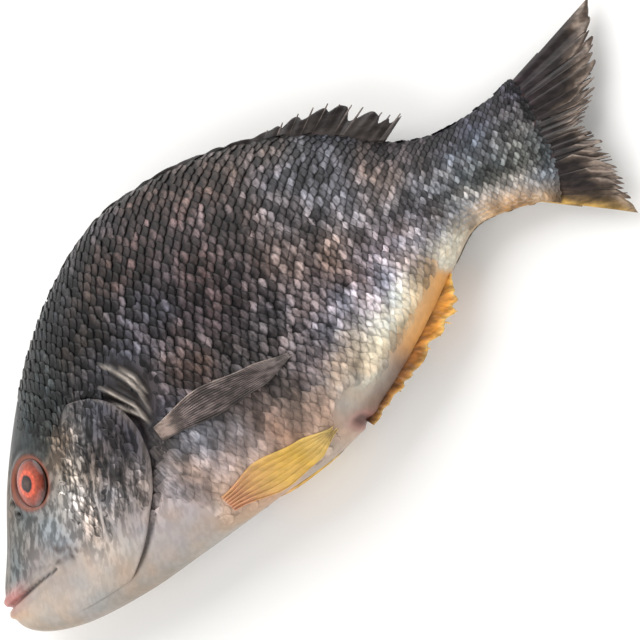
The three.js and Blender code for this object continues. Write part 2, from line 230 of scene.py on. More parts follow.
def face_out(obj):
    """Turns the faces of a closed mesh to point outwards."""
    bm = bmesh.new()
    bm.from_mesh(obj.data)
    bmesh.ops.recalc_face_normals(bm, faces=bm.faces)
    bm.to_mesh(obj.data)
    bm.free()


def closed_plate(name, upper, lower, material, values):
    """A thin closed solid from two facing grids of points, shape (rows, columns, 3)."""
    rows, columns = upper.shape[:2]
    ring = np.concatenate([upper, lower[:, ::-1]], axis=1)
    width = ring.shape[1]
    faces = grid_faces(rows, width, wrap=True).tolist()
    for first, flip in ((0, False), ((rows - 1) * width, True)):
        for c in range(columns - 1):
            quad = [first + c, first + c + 1, first + width - 2 - c, first + width - 1 - c]
            faces.append(quad[::-1] if flip else quad)
    doubled = {k: np.concatenate([v, v[:, ::-1]], axis=1) for k, v in values.items()}
    flat = {k: v.reshape(-1, 3) if v.ndim == 3 else v.ravel() for k, v in doubled.items()}
    obj = make_mesh(name, ring, faces, material=material, values=flat)
    face_out(obj)
    return obj


def report(obj):
    triangles = sum(len(p.vertices) - 2 for p in obj.data.polygons)
    print(f"{obj.name}: {triangles} triangles")


print("a grid of 3 by 4 points has", len(grid_faces(3, 4)), "quads")


# %% [markdown]
# ## Colours of a wet fish
# Skin colour changes over the fish: a near-black back, a purple-brown flank, silver and cream below. No single
# colour would do, and a painted picture isn't needed either. The skin carries its two fish coordinates as
# attributes, and the material looks up a colour ramp from belly to back at a few places along the fish and
# blends between them. A little noise breaks up the bands.

# %% Colours
def srgb(code):
    """Linear colour from sRGB hex."""
    parts = [int(code[i : i + 2], 16) / 255 for i in (0, 2, 4)]
    return tuple(p / 12.92 if p <= 0.04045 else ((p + 0.055) / 1.055) ** 2.4 for p in parts) + (1.0,)


print("the orange of an iris, linear:", [round(c, 3) for c in srgb("cc5438")[:3]])


# %% Add a node
def add(tree, kind, settings=None, *values, **named):
    """Adds a node with its settings and links. Returns its first output in use; that output's .node has the rest.

    values go to the inputs in use, in order, and named ones to inputs by name: numbers, colours or outputs of other
    nodes. Among the settings, stops fills a colour ramp with (place, hex) pairs and take names the output to return.
    """
    node = tree.nodes.new(kind)
    settings = dict(settings or {})
    stops, take = settings.pop("stops", ()), settings.pop("take", None)
    for key, value in settings.items():
        setattr(node, key, value)
    for i, (place, code) in enumerate(stops):
        elements = node.color_ramp.elements
        element = elements[i] if i < len(elements) else elements.new(place)
        element.position, element.color = place, srgb(code)
    in_use = [socket for socket in node.inputs if socket.enabled]
    by_name = [(node.inputs[name.replace("_", " ")], value) for name, value in named.items()]
    for socket, value in list(zip(in_use, values)) + by_name:
        if isinstance(value, bpy.types.NodeSocket):
            tree.links.new(value, socket)
        else:
            socket.default_value = value
    return node.outputs[take] if take else next((socket for socket in node.outputs if socket.enabled), None)


MATH, SPAN, MIX, RAMP = "ShaderNodeMath", "ShaderNodeMapRange", "ShaderNodeMix", "ShaderNodeValToRGB"
SMOOTHLY = {"interpolation_type": "SMOOTHSTEP", "clamp": True}
COVER = {"data_type": "RGBA", "blend_type": "MIX", "clamp_factor": True}
TINT = {"data_type": "RGBA", "blend_type": "MULTIPLY", "clamp_factor": True}
PLUS, MINUS, TIMES, OVER = ({"operation": name} for name in ("ADD", "SUBTRACT", "MULTIPLY", "DIVIDE"))
TIMES_PLUS, POWER, LARGER, SMALLER = (
    {"operation": name} for name in ("MULTIPLY_ADD", "POWER", "MAXIMUM", "MINIMUM")
)
print("kinds of node named for materials:", [kind.removeprefix("ShaderNode") for kind in (MATH, SPAN, MIX, RAMP)])

# %% [markdown]
# Pigment is never even. Its grain is noise in the fish's own frame, so it stays put from every side, sized by its
# grains per millimetre and drawn out along a direction where the real one lies in streaks. A pattern that should
# die away over some part of the fish is eased back to one, which is no change when it tints a colour.

# %% Grain of the pigment
def grain(tree, per_mm, detail=2.0, stretch=(1, 1, 1), turn=0.0):
    """Noise with per_mm grains per millimetre, drawn out by stretch along turn and across it."""
    where = add(tree, "ShaderNodeTexCoord", {"take": "Object"})
    drawn = add(
        tree, "ShaderNodeMapping", {"vector_type": "TEXTURE"}, Vector=where, Rotation=(0, 0, turn), Scale=stretch
    )
    return add(tree, "ShaderNodeTexNoise", None, Vector=drawn, Scale=per_mm / MM, Detail=detail)


def eased(tree, factor, share):
    """factor where share is 1, easing to 1 where share is 0."""
    return add(tree, MATH, TIMES_PLUS, add(tree, MATH, MINUS, factor, 1.0), share, 1.0)


print("the coarsest pigment has a grain about every", round(1 / 0.03), "mm")

# %% Colours of the skin by place
# Each row: where along the fish, and its colours from belly (0) through the middle (0.5) to the back (1).
SKIN_BANDS = [
    (0.05, [
        (0.0, "91928e"), (0.15, "acaba6"), (0.28, "b3a89b"), (0.42, "8a7e77"),
        (0.6, "72746f"), (0.8, "645d54"), (1.0, "3b342f"),
    ]),
    (0.19, [
        (0.0, "a58c74"), (0.14, "bdae9e"), (0.3, "93918f"), (0.46, "96948e"),
        (0.57, "7c756c"), (0.68, "2a3334"), (1.0, "111111"),
    ]),
    (0.33, [
        (0.0, "a19a8e"), (0.14, "aba3a3"), (0.26, "6a6a6d"), (0.38, "3e3f48"),
        (0.5, "4c4a4e"), (0.75, "181717"), (1.0, "1a1818"),
    ]),
    (0.53, [
        (0.0, "bd9f86"), (0.1, "9f8573"), (0.2, "574941"), (0.32, "4e443f"),
        (0.5, "2b2425"), (0.75, "362a28"), (1.0, "302e31"),
    ]),
    (0.72, [
        (0.0, "c4d3d0"), (0.08, "bed2cc"), (0.22, "9395a0"), (0.34, "615a5d"),
        (0.5, "5f5958"), (0.78, "4d4746"), (1.0, "303133"),
    ]),
    (0.92, [
        (0.0, "a48658"), (0.1, "aba296"), (0.22, "8f979d"), (0.36, "4c565a"),
        (0.6, "4f565d"), (0.85, "31343e"), (1.0, "222128"),
    ]),
]
# Marks carried by the mesh. dark is partly pigment and partly painted shade in grooves and pits; pale is a painted
# highlight along the crests of the shoulder folds.
SKIN_MARKS = ("fish_along", "fish_up", "golden", "brown", "pink", "dark", "pale", "orbit")


def skin_colour(tree):
    """The colour of bare skin at a point, and the marks that the mesh carries there, by name."""
    mark = {name: add(tree, "ShaderNodeAttribute", {"attribute_name": name, "take": "Fac"}) for name in SKIN_MARKS}
    wander = add(tree, MATH, MINUS, grain(tree, 0.055, 3.0), 0.5)
    height = add(tree, MATH, TIMES_PLUS, mark["fish_up"], 0.5, 0.5)
    height = add(tree, MATH, TIMES_PLUS, wander, 0.2, height)
    place = add(tree, MATH, TIMES_PLUS, wander, 0.12, mark["fish_along"])
    colour = add(tree, RAMP, {"stops": SKIN_BANDS[0][1]}, height)
    for (before, _), (after, stops) in zip(SKIN_BANDS, SKIN_BANDS[1:]):
        here = add(tree, RAMP, {"stops": stops}, height)
        colour = add(tree, MIX, COVER, add(tree, SPAN, SMOOTHLY, place, before, after), colour, here)
    cool_to_warm = {"stops": [(0.36, "d9e6f5"), (0.5, "f4f0f2"), (0.64, "fde6d4")]}
    colour = add(tree, MIX, TINT, 1.0, colour, add(tree, RAMP, cool_to_warm, grain(tree, 0.03, 3.0)))
    colour = add(tree, MIX, COVER, mark["golden"], colour, srgb("c98a3a"))
    colour = add(tree, MIX, COVER, mark["brown"], colour, srgb("5c3a28"))
    return colour, mark


print("skin colours at", len(SKIN_BANDS), "places along the fish")

# %% [markdown]
# A landed fish is wet, under a film of slime. The flesh gives a soft gloss, and the slime, mostly water, adds a
# thin second one, so highlights are sharp and their surroundings soft. Fins and bare skin also let a little light
# in, which subsurface scattering gives. These numbers are the same all over a piece, so they're set on its shader.

# %% The wet finish
SLIME_IOR, FLESH_IOR = 1.34, 1.36


def wet(tree, colour, roughness, coat, bump=None, subsurface=0.0, specular=0.35):
    """Finishes a material as wet flesh under slime."""
    shader = tree.nodes["Principled BSDF"]
    tree.links.new(colour, shader.inputs["Base Color"])
    constants = {
        "Roughness": roughness, "IOR": FLESH_IOR, "Specular IOR Level": specular,
        "Coat Weight": coat, "Coat Roughness": 0.18, "Coat IOR": SLIME_IOR,
    }
    if subsurface:
        constants.update({
            "Subsurface Weight": subsurface, "Subsurface Radius": (0.8, 0.4, 0.3), "Subsurface Scale": 0.002,
        })
    for name, value in constants.items():
        shader.inputs[name].default_value = value
    if bump is not None:
        tree.links.new(bump, shader.inputs["Normal"])


def new_material(name):
    material = bpy.data.materials.new(name)
    material.use_nodes = True
    return material, material.node_tree


print("slime over flesh, IOR:", SLIME_IOR, "over", FLESH_IOR)

# %% [markdown]
# ### Bare skin
# Between and under the scales, and all over the snout, the fish has bare wet skin. It shows pigment specks
# about a millimetre across. It is painted a little lighter along the crests of the folds at the shoulder, a painted
# highlight, and darker in the grooves of the folds and in the pits of the face, painted shade.

# %% Material: bare wet skin
def bare_skin():
    material, tree = new_material("bare_wet_fish_skin")
    colour, mark = skin_colour(tree)
    specks = add(tree, SPAN, SMOOTHLY, grain(tree, 0.5, 3.0, (2.2, 0.9, 1), 0.9), 0.4, 0.62, 0.5, 1.45)
    chin = add(tree, SPAN, SMOOTHLY, mark["fish_along"], 0.1, 0.2, 0.5, 0.0)
    height = add(tree, MATH, MINUS, mark["fish_up"], chin)
    speckled = add(tree, SPAN, SMOOTHLY, height, -0.85, -0.4, 0.12, 1.0)
    colour = add(tree, MIX, TINT, 1.0, colour, eased(tree, specks, speckled))
    # pink and orbit are the skin's own colour; dark is partly pigment and partly painted shade in folds and pits; pale
    # is a painted highlight along the shoulder folds' crests.
    for name, share, code in (
        ("pink", 1.0, "c8807a"), ("dark", 1.0, "1d1717"), ("pale", 0.95, "c4b8ad"), ("orbit", 0.8, "8a4a34"),
    ):
        colour = add(tree, MIX, COVER, add(tree, MATH, TIMES, mark[name], share), colour, srgb(code))
    bump = add(tree, "ShaderNodeBump", None, Strength=0.25, Distance=0.0003, Height=grain(tree, 0.9, 4.0))
    wet(tree, colour, 0.4, 0.2, bump, subsurface=0.06)
    return material


SKIN = bare_skin()
print("made", SKIN.name)


# %% [markdown]
# ### Scales
# A bream's scale is a thin clear plate over pigmented skin. On the back each scale has a dark margin round a
# paler middle, which draws the net pattern; low on the flank the margins fade into silver. Inside the margin a
# painted highlight brightens each scale towards its free edge, and its root, under the scale in front, is left
# darker. The scale carries how far out from its root a point is, so the margin and the painted highlight follow
# the scale's own edge, and one random tone each.

# %% Material: scaled skin
def scale_light(tree, mark):
    """How light a scale is at a point: dark where it roots under the scale in front, a painted highlight before its
    free edge, dark along its margin.
    """
    out, side = (
        add(tree, "ShaderNodeAttribute", {"attribute_name": name, "take": "Fac"})
        for name in ("scale_out", "scale_side")
    )
    frayed = add(tree, MATH, MINUS, grain(tree, 0.6, 3.0), 0.5)
    frayed = add(tree, MATH, TIMES_PLUS, frayed, 0.5, out)
    end = add(tree, SPAN, SMOOTHLY, frayed, 0.86, 1.04)
    flank_edge = add(tree, SPAN, SMOOTHLY, add(tree, MATH, {"operation": "ABSOLUTE"}, side), 0.4, 0.92)
    rim = add(tree, MATH, LARGER, end, flank_edge)
    # painted highlight: each scale is painted brighter towards its free edge, as if lit there, and darker towards its
    # root
    painted_highlight = add(tree, SPAN, SMOOTHLY, frayed, 0.46, 0.82)
    light = add(tree, MATH, TIMES_PLUS, painted_highlight, 1.85, 0.34)
    light = add(tree, MATH, TIMES, light, add(tree, MATH, TIMES_PLUS, rim, -0.86, 1.0))
    pale_chest = add(tree, SPAN, SMOOTHLY, mark["fish_along"], 0.42, 0.62, 0.32, 0.0)
    height = add(tree, MATH, MINUS, mark["fish_up"], pale_chest)
    contrast = add(tree, SPAN, SMOOTHLY, height, -0.95, -0.35, 0.06, 1.0)
    for place in ((0.55, 0.95, 1.0, 0.4), (0.28, 0.4, 0.5, 1.0)):  # fainter at the tail and on the head
        contrast = add(tree, MATH, TIMES, contrast, add(tree, SPAN, SMOOTHLY, mark["fish_along"], *place))
    return eased(tree, light, contrast)


def own_tone(tree, mark):
    """The lightness that each scale has to itself: most are dark and a few are bright, above all on the back."""
    tone = add(tree, "ShaderNodeAttribute", {"attribute_name": "scale_tone", "take": "Fac"})
    own = add(tree, MATH, TIMES_PLUS, add(tree, MATH, POWER, tone, 2.2), 1.65, 0.5)
    own = eased(tree, own, add(tree, SPAN, SMOOTHLY, mark["fish_along"], 0.28, 0.4, 0.5, 1.0))
    back = add(tree, SPAN, SMOOTHLY, mark["fish_up"], 0.0, 0.5)
    back = add(tree, MATH, TIMES, back, add(tree, SPAN, SMOOTHLY, mark["fish_along"], 0.3, 0.62, 1.0, 0.35))
    own = eased(tree, own, add(tree, MATH, TIMES_PLUS, back, 0.7, 1.0))
    own = add(tree, MATH, LARGER, own, 0.2)
    return eased(tree, own, add(tree, SPAN, SMOOTHLY, mark["fish_up"], -0.85, -0.2, 0.2, 1.0))


def scaled_skin():
    material, tree = new_material("scaled_fish_skin")
    colour, mark = skin_colour(tree)
    along, up = mark["fish_along"], mark["fish_up"]
    blotch = add(tree, SPAN, SMOOTHLY, grain(tree, 0.13, 4.0, (1.8, 0.9, 1.0), 0.9), 0.33, 0.67, 0.58, 1.42)
    ridges = add(tree, SPAN, SMOOTHLY, grain(tree, 0.8, 3.0, (0.8, 3.4, 1.0), 0.1), 0.4, 0.6, 0.7, 1.28)
    ridges = eased(tree, ridges, add(tree, SPAN, SMOOTHLY, up, -0.9, -0.5, 0.3, 1.0))
    streaks = add(tree, SPAN, SMOOTHLY, grain(tree, 0.5, 3.0, (3.6, 0.8, 1.0), 0.9), 0.4, 0.6, 0.35, 1.6)
    on_cheek = add(tree, SPAN, SMOOTHLY, along, 0.27, 0.35, 1.0, 0.0)
    on_cheek = add(tree, MATH, TIMES, on_cheek, add(tree, SPAN, SMOOTHLY, up, -0.8, -0.4))
    light = add(tree, MATH, TIMES, scale_light(tree, mark), own_tone(tree, mark))
    light = add(tree, MATH, TIMES, light, add(tree, MATH, TIMES, blotch, ridges))
    light = add(tree, MATH, TIMES, light, eased(tree, streaks, on_cheek))
    colour = add(tree, MIX, TINT, 1.0, colour, light)
    # pale: a painted highlight along the shoulder folds' crests. dark: pigment, and painted shade in grooves and pits.
    colour = add(tree, MIX, COVER, add(tree, MATH, TIMES, mark["pale"], 0.6), colour, srgb("b5a9a0"))
    colour = add(tree, MIX, COVER, mark["dark"], colour, srgb("191718"))
    wet(tree, colour, 0.4, 0.08, specular=0.27)
    return material


SCALED = scaled_skin()
print("made", SCALED.name)


# %% [markdown]
# ## The skin
# Under its scales a fish is one closed bag of skin over bone and muscle, so it is built as one closed mesh:
# rings round the body, close together on the head, where the small shapes are. The features of the face are
# pushed in or out along the skin's normal: the gape with its lips, the upper jaw plate, two nostrils, the rim
# of the eye, the folds behind the cheek. Displacing real points, not only bumping the shading, keeps them in
# the silhouette and in the exported mesh.

# %% Distance helpers on the flank, seen from the side
def near(x, y, line):
    """How far points are from a broken line, and how far along it the nearest place is (0 to 1)."""
    line = np.array(line, float)
    lengths = np.linalg.norm(np.diff(line, axis=0), axis=1)
    before = np.concatenate([[0], np.cumsum(lengths)])
    best, place = np.full(x.shape, 1e9), np.zeros(x.shape)
    for a, b, start, length in zip(line, line[1:], before, lengths):
        s = np.clip(((x - a[0]) * (b[0] - a[0]) + (y - a[1]) * (b[1] - a[1])) / length**2, 0, 1)
        away = np.hypot(x - a[0] - s * (b[0] - a[0]), y - a[1] - s * (b[1] - a[1]))
        place = np.where(away < best, (start + s * length) / before[-1], place)
        best = np.minimum(best, away)
    return best, place


def rise(value, low, high):
    """0 below low, 1 above high, smooth between."""
    s = np.clip((value - low) / (high - low), 0, 1)
    return s * s * (3 - 2 * s)


def bell(distance, width):
    return np.exp(-((distance / width) ** 2))


def fading(s, power):
    """1 in the middle of a line and 0 at its ends."""
    return np.sin(np.pi * np.clip(s, 0.02, 0.98)) ** power


print("a rise from 0 to 1 is, at a quarter:", round(float(rise(0.25, 0, 1)), 3))


# %% The parts of the face, in millimetres back from the snout and up from its height
GAPE = [(-4, 0.2), (3.8, -0.4), (11.1, -1.6), (18.7, -2.3), (28.6, -3.7)]
JAW_PLATE = [(17.5, 10.5), (24, 6.5), (30, 1.5), (33.5, -2.5)]
JAW_FOLD = [(12, 10), (18, 3), (26, -0.5), (34, -4.5), (37, -5)]
MOUTH_SPOTS = [  # place, width and height of each
    (33.6, 1.2, 1.0, 1.6), (35.6, -0.6, 1.5, 0.7), (37.9, -1.6, 0.7, 1.5), (31.6, -2.6, 1.4, 0.6),
    (36.9, -4.4, 0.7, 1.2), (34.4, -3.4, 1.0, 0.5), (39.6, -3.9, 0.6, 1.0),
]
NOSTRILS = [(28.3, 20.1, 1.0), (28.6, 24.3, 1.4)]
EYE_X, EYE_Y, EYE_RADIUS = 40.1, 24.4, 8.5
CHEEK_FOLDS = [
    [(69.2, 25.5), (69.4, 17), (66.6, 6), (60, 1), (56.7, -4), (53.6, -9.4), (47, -13)],
    [(63, 24), (63.5, 16), (61, 9), (56, 4)],
    [(76, 24), (77.5, 15), (76, 8), (71, 1)],
]
SHOULDER_FOLDS = [
    [(88.5, 36.5), (91.5, 33), (94.4, 26), (95.6, 20), (94.4, 13)],
    [(94.3, 31), (96.9, 24.5), (97.2, 18.5)],
    [(84.4, 30.6), (87.2, 25), (90.6, 18), (91.6, 12)],
    [(83.6, 24.2), (86.6, 19.4), (90.4, 14), (91.4, 10)],
]
CHEEK_STREAKS = [
    [(71.6, 29), (71.0, 23), (69.4, 14), (66.7, 6.2)],
    [(77.4, 23), (78.0, 15.6), (76.5, 8)],
    [(74.3, 12), (70.7, 3), (65.5, -5.7)],
    [(67.5, 27), (66.5, 19), (63.5, 11)],
    [(81.5, 22), (82, 14), (79.5, 4)],
]
VENT_X, VENT_Y = 147, -33.5
ANAL_BASE = smooth(BELLY_LINE, at_share(np.linspace(0.59, 0.82, 9)))
GILL_AT, GILL_TOP, GILL_BOTTOM, GILL_LENGTH = 0.358, 0.3, -0.89, 30
print("folds, streaks, spots:", len(CHEEK_FOLDS + SHOULDER_FOLDS), len(CHEEK_STREAKS), len(MOUTH_SPOTS))

# %% [markdown]
# ### Relief
# One function gives the height of every feature at any place on the skin, so the skin itself, the gill covers and
# the scales agree on it. It also says where the skin is dark, pale, pink, golden or brown. Pink, golden, brown and
# part of the dark are the fish's own colour: the cheek's streaks and the spots at the corner of the mouth. The rest
# of the dark is painted shade in the grooves of the folds and in the pits of the gape, the nostrils, the eye's rim,
# the vent and the gill opening, with a broad darkening round the shoulder folds; the pale is a painted highlight
# along their crests.

# %% Edges of the gill cover and streaks of pigment
def gill_reach(up):
    """t at the front and the rear edge of the gill cover at that height."""
    v = np.clip((up - GILL_BOTTOM) / (GILL_TOP - GILL_BOTTOM), -0.02, 1)
    throat, crest = 0.1 * (1 - v) ** 4.5, 0.05 * np.maximum(v, 0) ** 6
    return at_share(GILL_AT - GILL_LENGTH / BODY_LENGTH) - throat, at_share(GILL_AT) - throat - crest


def cheek_streaks(x, y):
    """How dark the streaks of pigment over the cheek and the gill cover are, from 0 to 1."""
    dark = np.zeros_like(x)
    for streak in CHEEK_STREAKS:
        away, s = near(x, y, streak)
        dark += fading(s, 0.6) * bell(away + 0.4 * np.sin(y * 2.3 + x), 1.5)
    return 0.96 * np.clip(dark, 0, 1)


print("the gill cover, mm along:", [round(float(flank(t, 0.0, 1)[0]), 1) for t in gill_reach(0.0)])


# %% Relief and marks of the skin
def relief(x, y, t, up):
    """How far the skin stands out from the smooth body, and its marks by name, each from 0 to 1."""
    away, s = near(x, y, GAPE)
    half, deep = 0.9 - 0.4 * s, 2.2 - 1.4 * s
    push = -deep * (1 - rise(away, half * 0.4, half * 1.7))
    push += (1.0 - 0.5 * s) * bell(away - half - 1.7, 1.2)
    above = rise(y - np.interp(x, [p[0] for p in GAPE], [p[1] for p in GAPE]), -1.2, 0.3)
    pink = (0.2 + 0.45 * above) * bell(away - 1.2, 3.0) * (1 - rise(s, 0.3, 0.65))
    # dark here is painted shade inside the mouth's slit
    dark = 0.75 * (1 - rise(away, half * 0.3, half * 0.9)) * rise(s, 0.2, 0.5)
    away, s = near(x, y, JAW_PLATE)
    push += 0.55 * (1 - rise(away, 1.8, 5.2)) * (1 - 0.6 * rise(s, 0.7, 1))
    away, s = near(x, y, JAW_FOLD)
    push -= 0.45 * bell(away, 1.1) * rise(s, 0, 0.25) * (1 - 0.6 * rise(s, 0.6, 1))
    # darker along the rear of the jaw fold's groove: partly the dark patch at the mouth's corner, partly painted shade
    # in the groove
    dark += 0.3 * bell(away, 0.8) * rise(s, 0.3, 0.6) * (0.6 + 0.4 * np.sin(y * 4.1))
    spots = np.zeros_like(x)
    for spot_x, spot_y, wide, tall in MOUTH_SPOTS:
        spots += bell(np.hypot((x - spot_x) / wide, (y - spot_y) / tall), 1.0)
    dark += 0.55 * spots
    for nose_x, nose_y, radius in NOSTRILS:
        away = np.hypot(x - nose_x, (y - nose_y) / 1.2)
        push += 0.35 * bell(away - radius * 1.5, 0.5) - 1.3 * (1 - rise(away, radius * 0.3, radius))
        # painted shade in the nostril's pit
        dark += 0.8 * (1 - rise(away, radius * 0.4, radius * 1.1))
    away = np.hypot(x - EYE_X, y - EYE_Y)
    push += 0.75 * bell(away - EYE_RADIUS - 1.1, 1.3) - 3.2 * (1 - rise(away, EYE_RADIUS - 2.4, EYE_RADIUS - 0.2))
    push -= 0.35 * bell(away - EYE_RADIUS - 3.8, 1.0)
    # painted shade in the gap where the eye meets its socket
    dark += 0.35 * bell(away - EYE_RADIUS + 0.2, 0.7)
    orbit = bell(away - EYE_RADIUS - 0.2, 0.9)
    for fold in CHEEK_FOLDS:
        away, s = near(x, y, fold)
        fade = fading(s, 0.6)
        push += fade * (0.45 * bell(away - 1.6, 0.9) - 0.7 * bell(away, 0.8))
        # painted shade along each fold's groove
        dark += fade * 0.8 * bell(away, 1.9)
    pale = np.zeros_like(x)
    for fold in SHOULDER_FOLDS:
        away, s = near(x, y, fold)
        fade = fading(s, 0.5)
        push += fade * (0.8 * bell(away, 0.7) - 0.5 * bell(away - 1.6, 0.6))
        # pale: a painted highlight along each fold's crest. dark: painted shade in the groove beside it, and a broad
        # darkening round the fold.
        pale += fade * bell(away, 0.55) * (0.7 + 0.2 * np.sin(s * 9 + x * 0.5) + 0.1 * np.sin(y * 3.1))
        dark += fade * (0.7 * bell(away - 1.6, 1.1) + 0.5 * bell(away, 5))
    dark += cheek_streaks(x, y)
    front, rear = gill_reach(up)
    length = rear - front
    inside = rise((t - front) / length, 0.05, 0.2) * (1 - rise((t - rear) / length, 0.0, 0.07))
    inside *= rise(up, GILL_BOTTOM - 0.01, GILL_BOTTOM + 0.04) * (1 - rise(up, GILL_TOP - 0.03, GILL_TOP + 0.01))
    push -= 1.5 * inside
    behind = bell((t - rear) / length - 0.07, 0.07) * rise(up, GILL_BOTTOM, GILL_BOTTOM + 0.1)
    behind *= 1 - rise(up, GILL_TOP - 0.05, GILL_TOP)
    push -= 0.9 * behind
    # painted shade in the groove behind the gill cover's free edge
    dark += 0.5 * behind
    away = np.hypot((x - VENT_X) / 1.6, y - VENT_Y)
    push += 0.7 * bell(away - 2.6, 1.1) - 1.2 * (1 - rise(away, 0.6, 2.2))
    pink += 0.25 * (1 - rise(away, 2, 4))
    # painted shade in the vent's pit
    dark += 0.6 * (1 - rise(away, 0.8, 2.6))
    away, s = near(x, y, ANAL_BASE)
    golden = 0.85 * bell(away, 6.5) * rise(s, 0.3, 0.5) * (1 - rise(s, 0.93, 1.0))
    brown = 0.8 * bell(away, 3.6) * (1 - rise(s, 0.35, 0.6)) + 0.4 * np.clip(spots, 0, 1)
    return push, {
        "pink": np.clip(pink, 0, 1), "dark": np.clip(dark, 0, 0.95), "pale": np.clip(pale, 0, 1),
        "orbit": orbit, "golden": golden, "brown": brown,
    }


nostril = relief(np.array([28.3]), np.array([20.1]), at_share(np.array([0.11])), np.array([0.3]))[0]
print("depth of a nostril, mm:", -nostril[0].round(2))


# %% [markdown]
# Flesh doesn't end square at the tail: it thins out over the first millimetres of the fin, so a short wedge
# carries the skin on from the last station.

# %% The root of the tail fin
TAIL_AXIS, TAIL_SPREAD = math.radians(-21), math.radians(48)
TAIL_ROOT_LENGTH = 9.0


def tail_root(up, behind, side):
    """A point over the root of the tail fin, behind mm after the end of the body, where flesh thins to the fin."""
    centre, reach, half = section(1.0)
    up, behind = np.asarray(up, float)[..., None], np.asarray(behind, float)[..., None]
    angle = TAIL_AXIS + TAIL_SPREAD * 0.62 * up
    behind = behind * (1 - 0.45 * up**2)
    thin = rise(behind, -3.0, TAIL_ROOT_LENGTH)
    power = BELLY_SHARPNESS + (BACK_SHARPNESS - BELLY_SHARPNESS) * (up + 1) / 2
    bulge = half * np.maximum(1 - up**2, 0) ** power * (1 - thin) + 0.6 * thin
    drop = 0.06 * (8 + behind) * np.clip(behind / TAIL_ROOT_LENGTH, 0, 1)
    height = np.asarray(side, float)[..., None] * bulge - drop
    away = np.concatenate([np.cos(angle) * behind, np.sin(angle) * behind, height], -1)
    return centre + reach * up + away


print("the flesh ends over the tail fin, mm behind the body:", TAIL_ROOT_LENGTH)

# %% Build the skin
HEAD_ROWS, BODY_ROWS, WEDGE_ROWS, AROUND = 305, 95, 12, 232
head_end = at_share(0.42)
row_t = np.concatenate([np.linspace(0.002, head_end, HEAD_ROWS, endpoint=False), np.linspace(head_end, 1, BODY_ROWS)])
turn = 2 * math.pi * np.arange(AROUND) / AROUND
grid_t, grid_up = np.meshgrid(row_t, np.cos(turn), indexing="ij")
grid_side = np.broadcast_to(np.where(np.sin(turn) >= 0, 1.0, -1.0), grid_t.shape)
skin = flank(grid_t, grid_up, grid_side)
print("rows and points round the skin:", grid_t.shape)

# %% Push the relief out along the normals
step_along = np.gradient(skin, axis=0)
step_round = np.roll(skin, -1, axis=1) - np.roll(skin, 1, axis=1)
normal = unit(np.cross(step_along, step_round))
normal *= np.sign(((skin - section(grid_t)[0]) * normal).sum(-1, keepdims=True))
push, marks = relief(skin[..., 0], skin[..., 1], grid_t, grid_up)
edge_on = 1 - 0.35 * rise(np.abs(grid_up), 0.9, 1.0)
skin = skin + normal * (push * edge_on)[..., None]
skin[..., 2] = np.maximum(skin[..., 2], 0.5)  # the scales below it are what touch the table
print("relief of the skin, mm:", push.min().round(2), "to", push.max().round(2))

# %% Carry the skin on over the tail's root and close it
behind = np.linspace(0.6, TAIL_ROOT_LENGTH, WEDGE_ROWS)[:, None] + 0 * turn
wedge_up = np.broadcast_to(grid_up[-1:], behind.shape)
wedge = tail_root(wedge_up, behind, np.broadcast_to(grid_side[-1:], behind.shape))
skin, grid_up = np.concatenate([skin, wedge]), np.concatenate([grid_up, wedge_up])
marks = {name: np.concatenate([mark, np.zeros_like(behind)]) for name, mark in marks.items()}
marks["dark"][-WEDGE_ROWS:] = 0.55 * rise(behind, 0, TAIL_ROOT_LENGTH)
marks["pink"][-WEDGE_ROWS:] = 0.12 * rise(behind, 0, TAIL_ROOT_LENGTH)
ends = np.array([flank(0.0, 0.0, 1), wedge[-1].mean(0)])
points = np.vstack([skin.reshape(-1, 3), ends])
rows = len(skin)
faces = grid_faces(rows, AROUND, wrap=True).tolist()
first, last = rows * AROUND, rows * AROUND + 1
for c in range(AROUND):
    n = (c + 1) % AROUND
    faces.append([first, n, c])
    faces.append([last, (rows - 1) * AROUND + c, (rows - 1) * AROUND + n])
capped = {
    "fish_along": np.append((skin[..., 0] / BODY_LENGTH).ravel(), [0.0, 1.0]),
    "fish_up": np.append(grid_up.ravel(), [0.0, 0.0]),
    **{name: np.append(mark.ravel(), [0.0, 0.0]) for name, mark in marks.items()},
}
skin_piece = make_mesh("fish_skin", points, faces, material=SKIN, values=capped)
face_out(skin_piece)
report(skin_piece)

# %% [markdown]
# ## Scales
# Scales grow in rows that cross like roof tiles: each covers the root of the next, and alternate columns are
# shifted by half a scale. Thousands of them follow one rule, so Geometry Nodes make them: this script only
# lays out where each one roots, which way is out and which way is tailward, and the node tree grows one small
# plate there. The plate is bent into a crown, its free edge is round, and its last strip turns down, so light
# catches each edge.

# %% The node tree for one scale on every point
def open_tree(name, inputs, result):
    """A geometry tree with named inputs, each (name, kind, default), and one result. Returns it and its inputs."""
    tree = bpy.data.node_groups.new(name, "GeometryNodeTree")
    for label, kind, default in inputs:
        item = tree.interface.new_socket(name=label, in_out="INPUT", socket_type="NodeSocket" + kind)
        if default is not None:
            item.default_value = default
    tree.interface.new_socket(name=result, in_out="OUTPUT", socket_type="NodeSocketGeometry")
    return tree, add(tree, "NodeGroupInput").node.outputs


def close_tree(tree, geometry, material):
    """Makes instances real, shades them smooth and gives them their material."""
    geometry = add(tree, "GeometryNodeRealizeInstances", None, geometry)
    geometry = add(tree, "GeometryNodeSetShadeSmooth", None, Geometry=geometry)
    add(tree, "NodeGroupOutput", None, add(tree, "GeometryNodeSetMaterial", None, Geometry=geometry, Material=material))


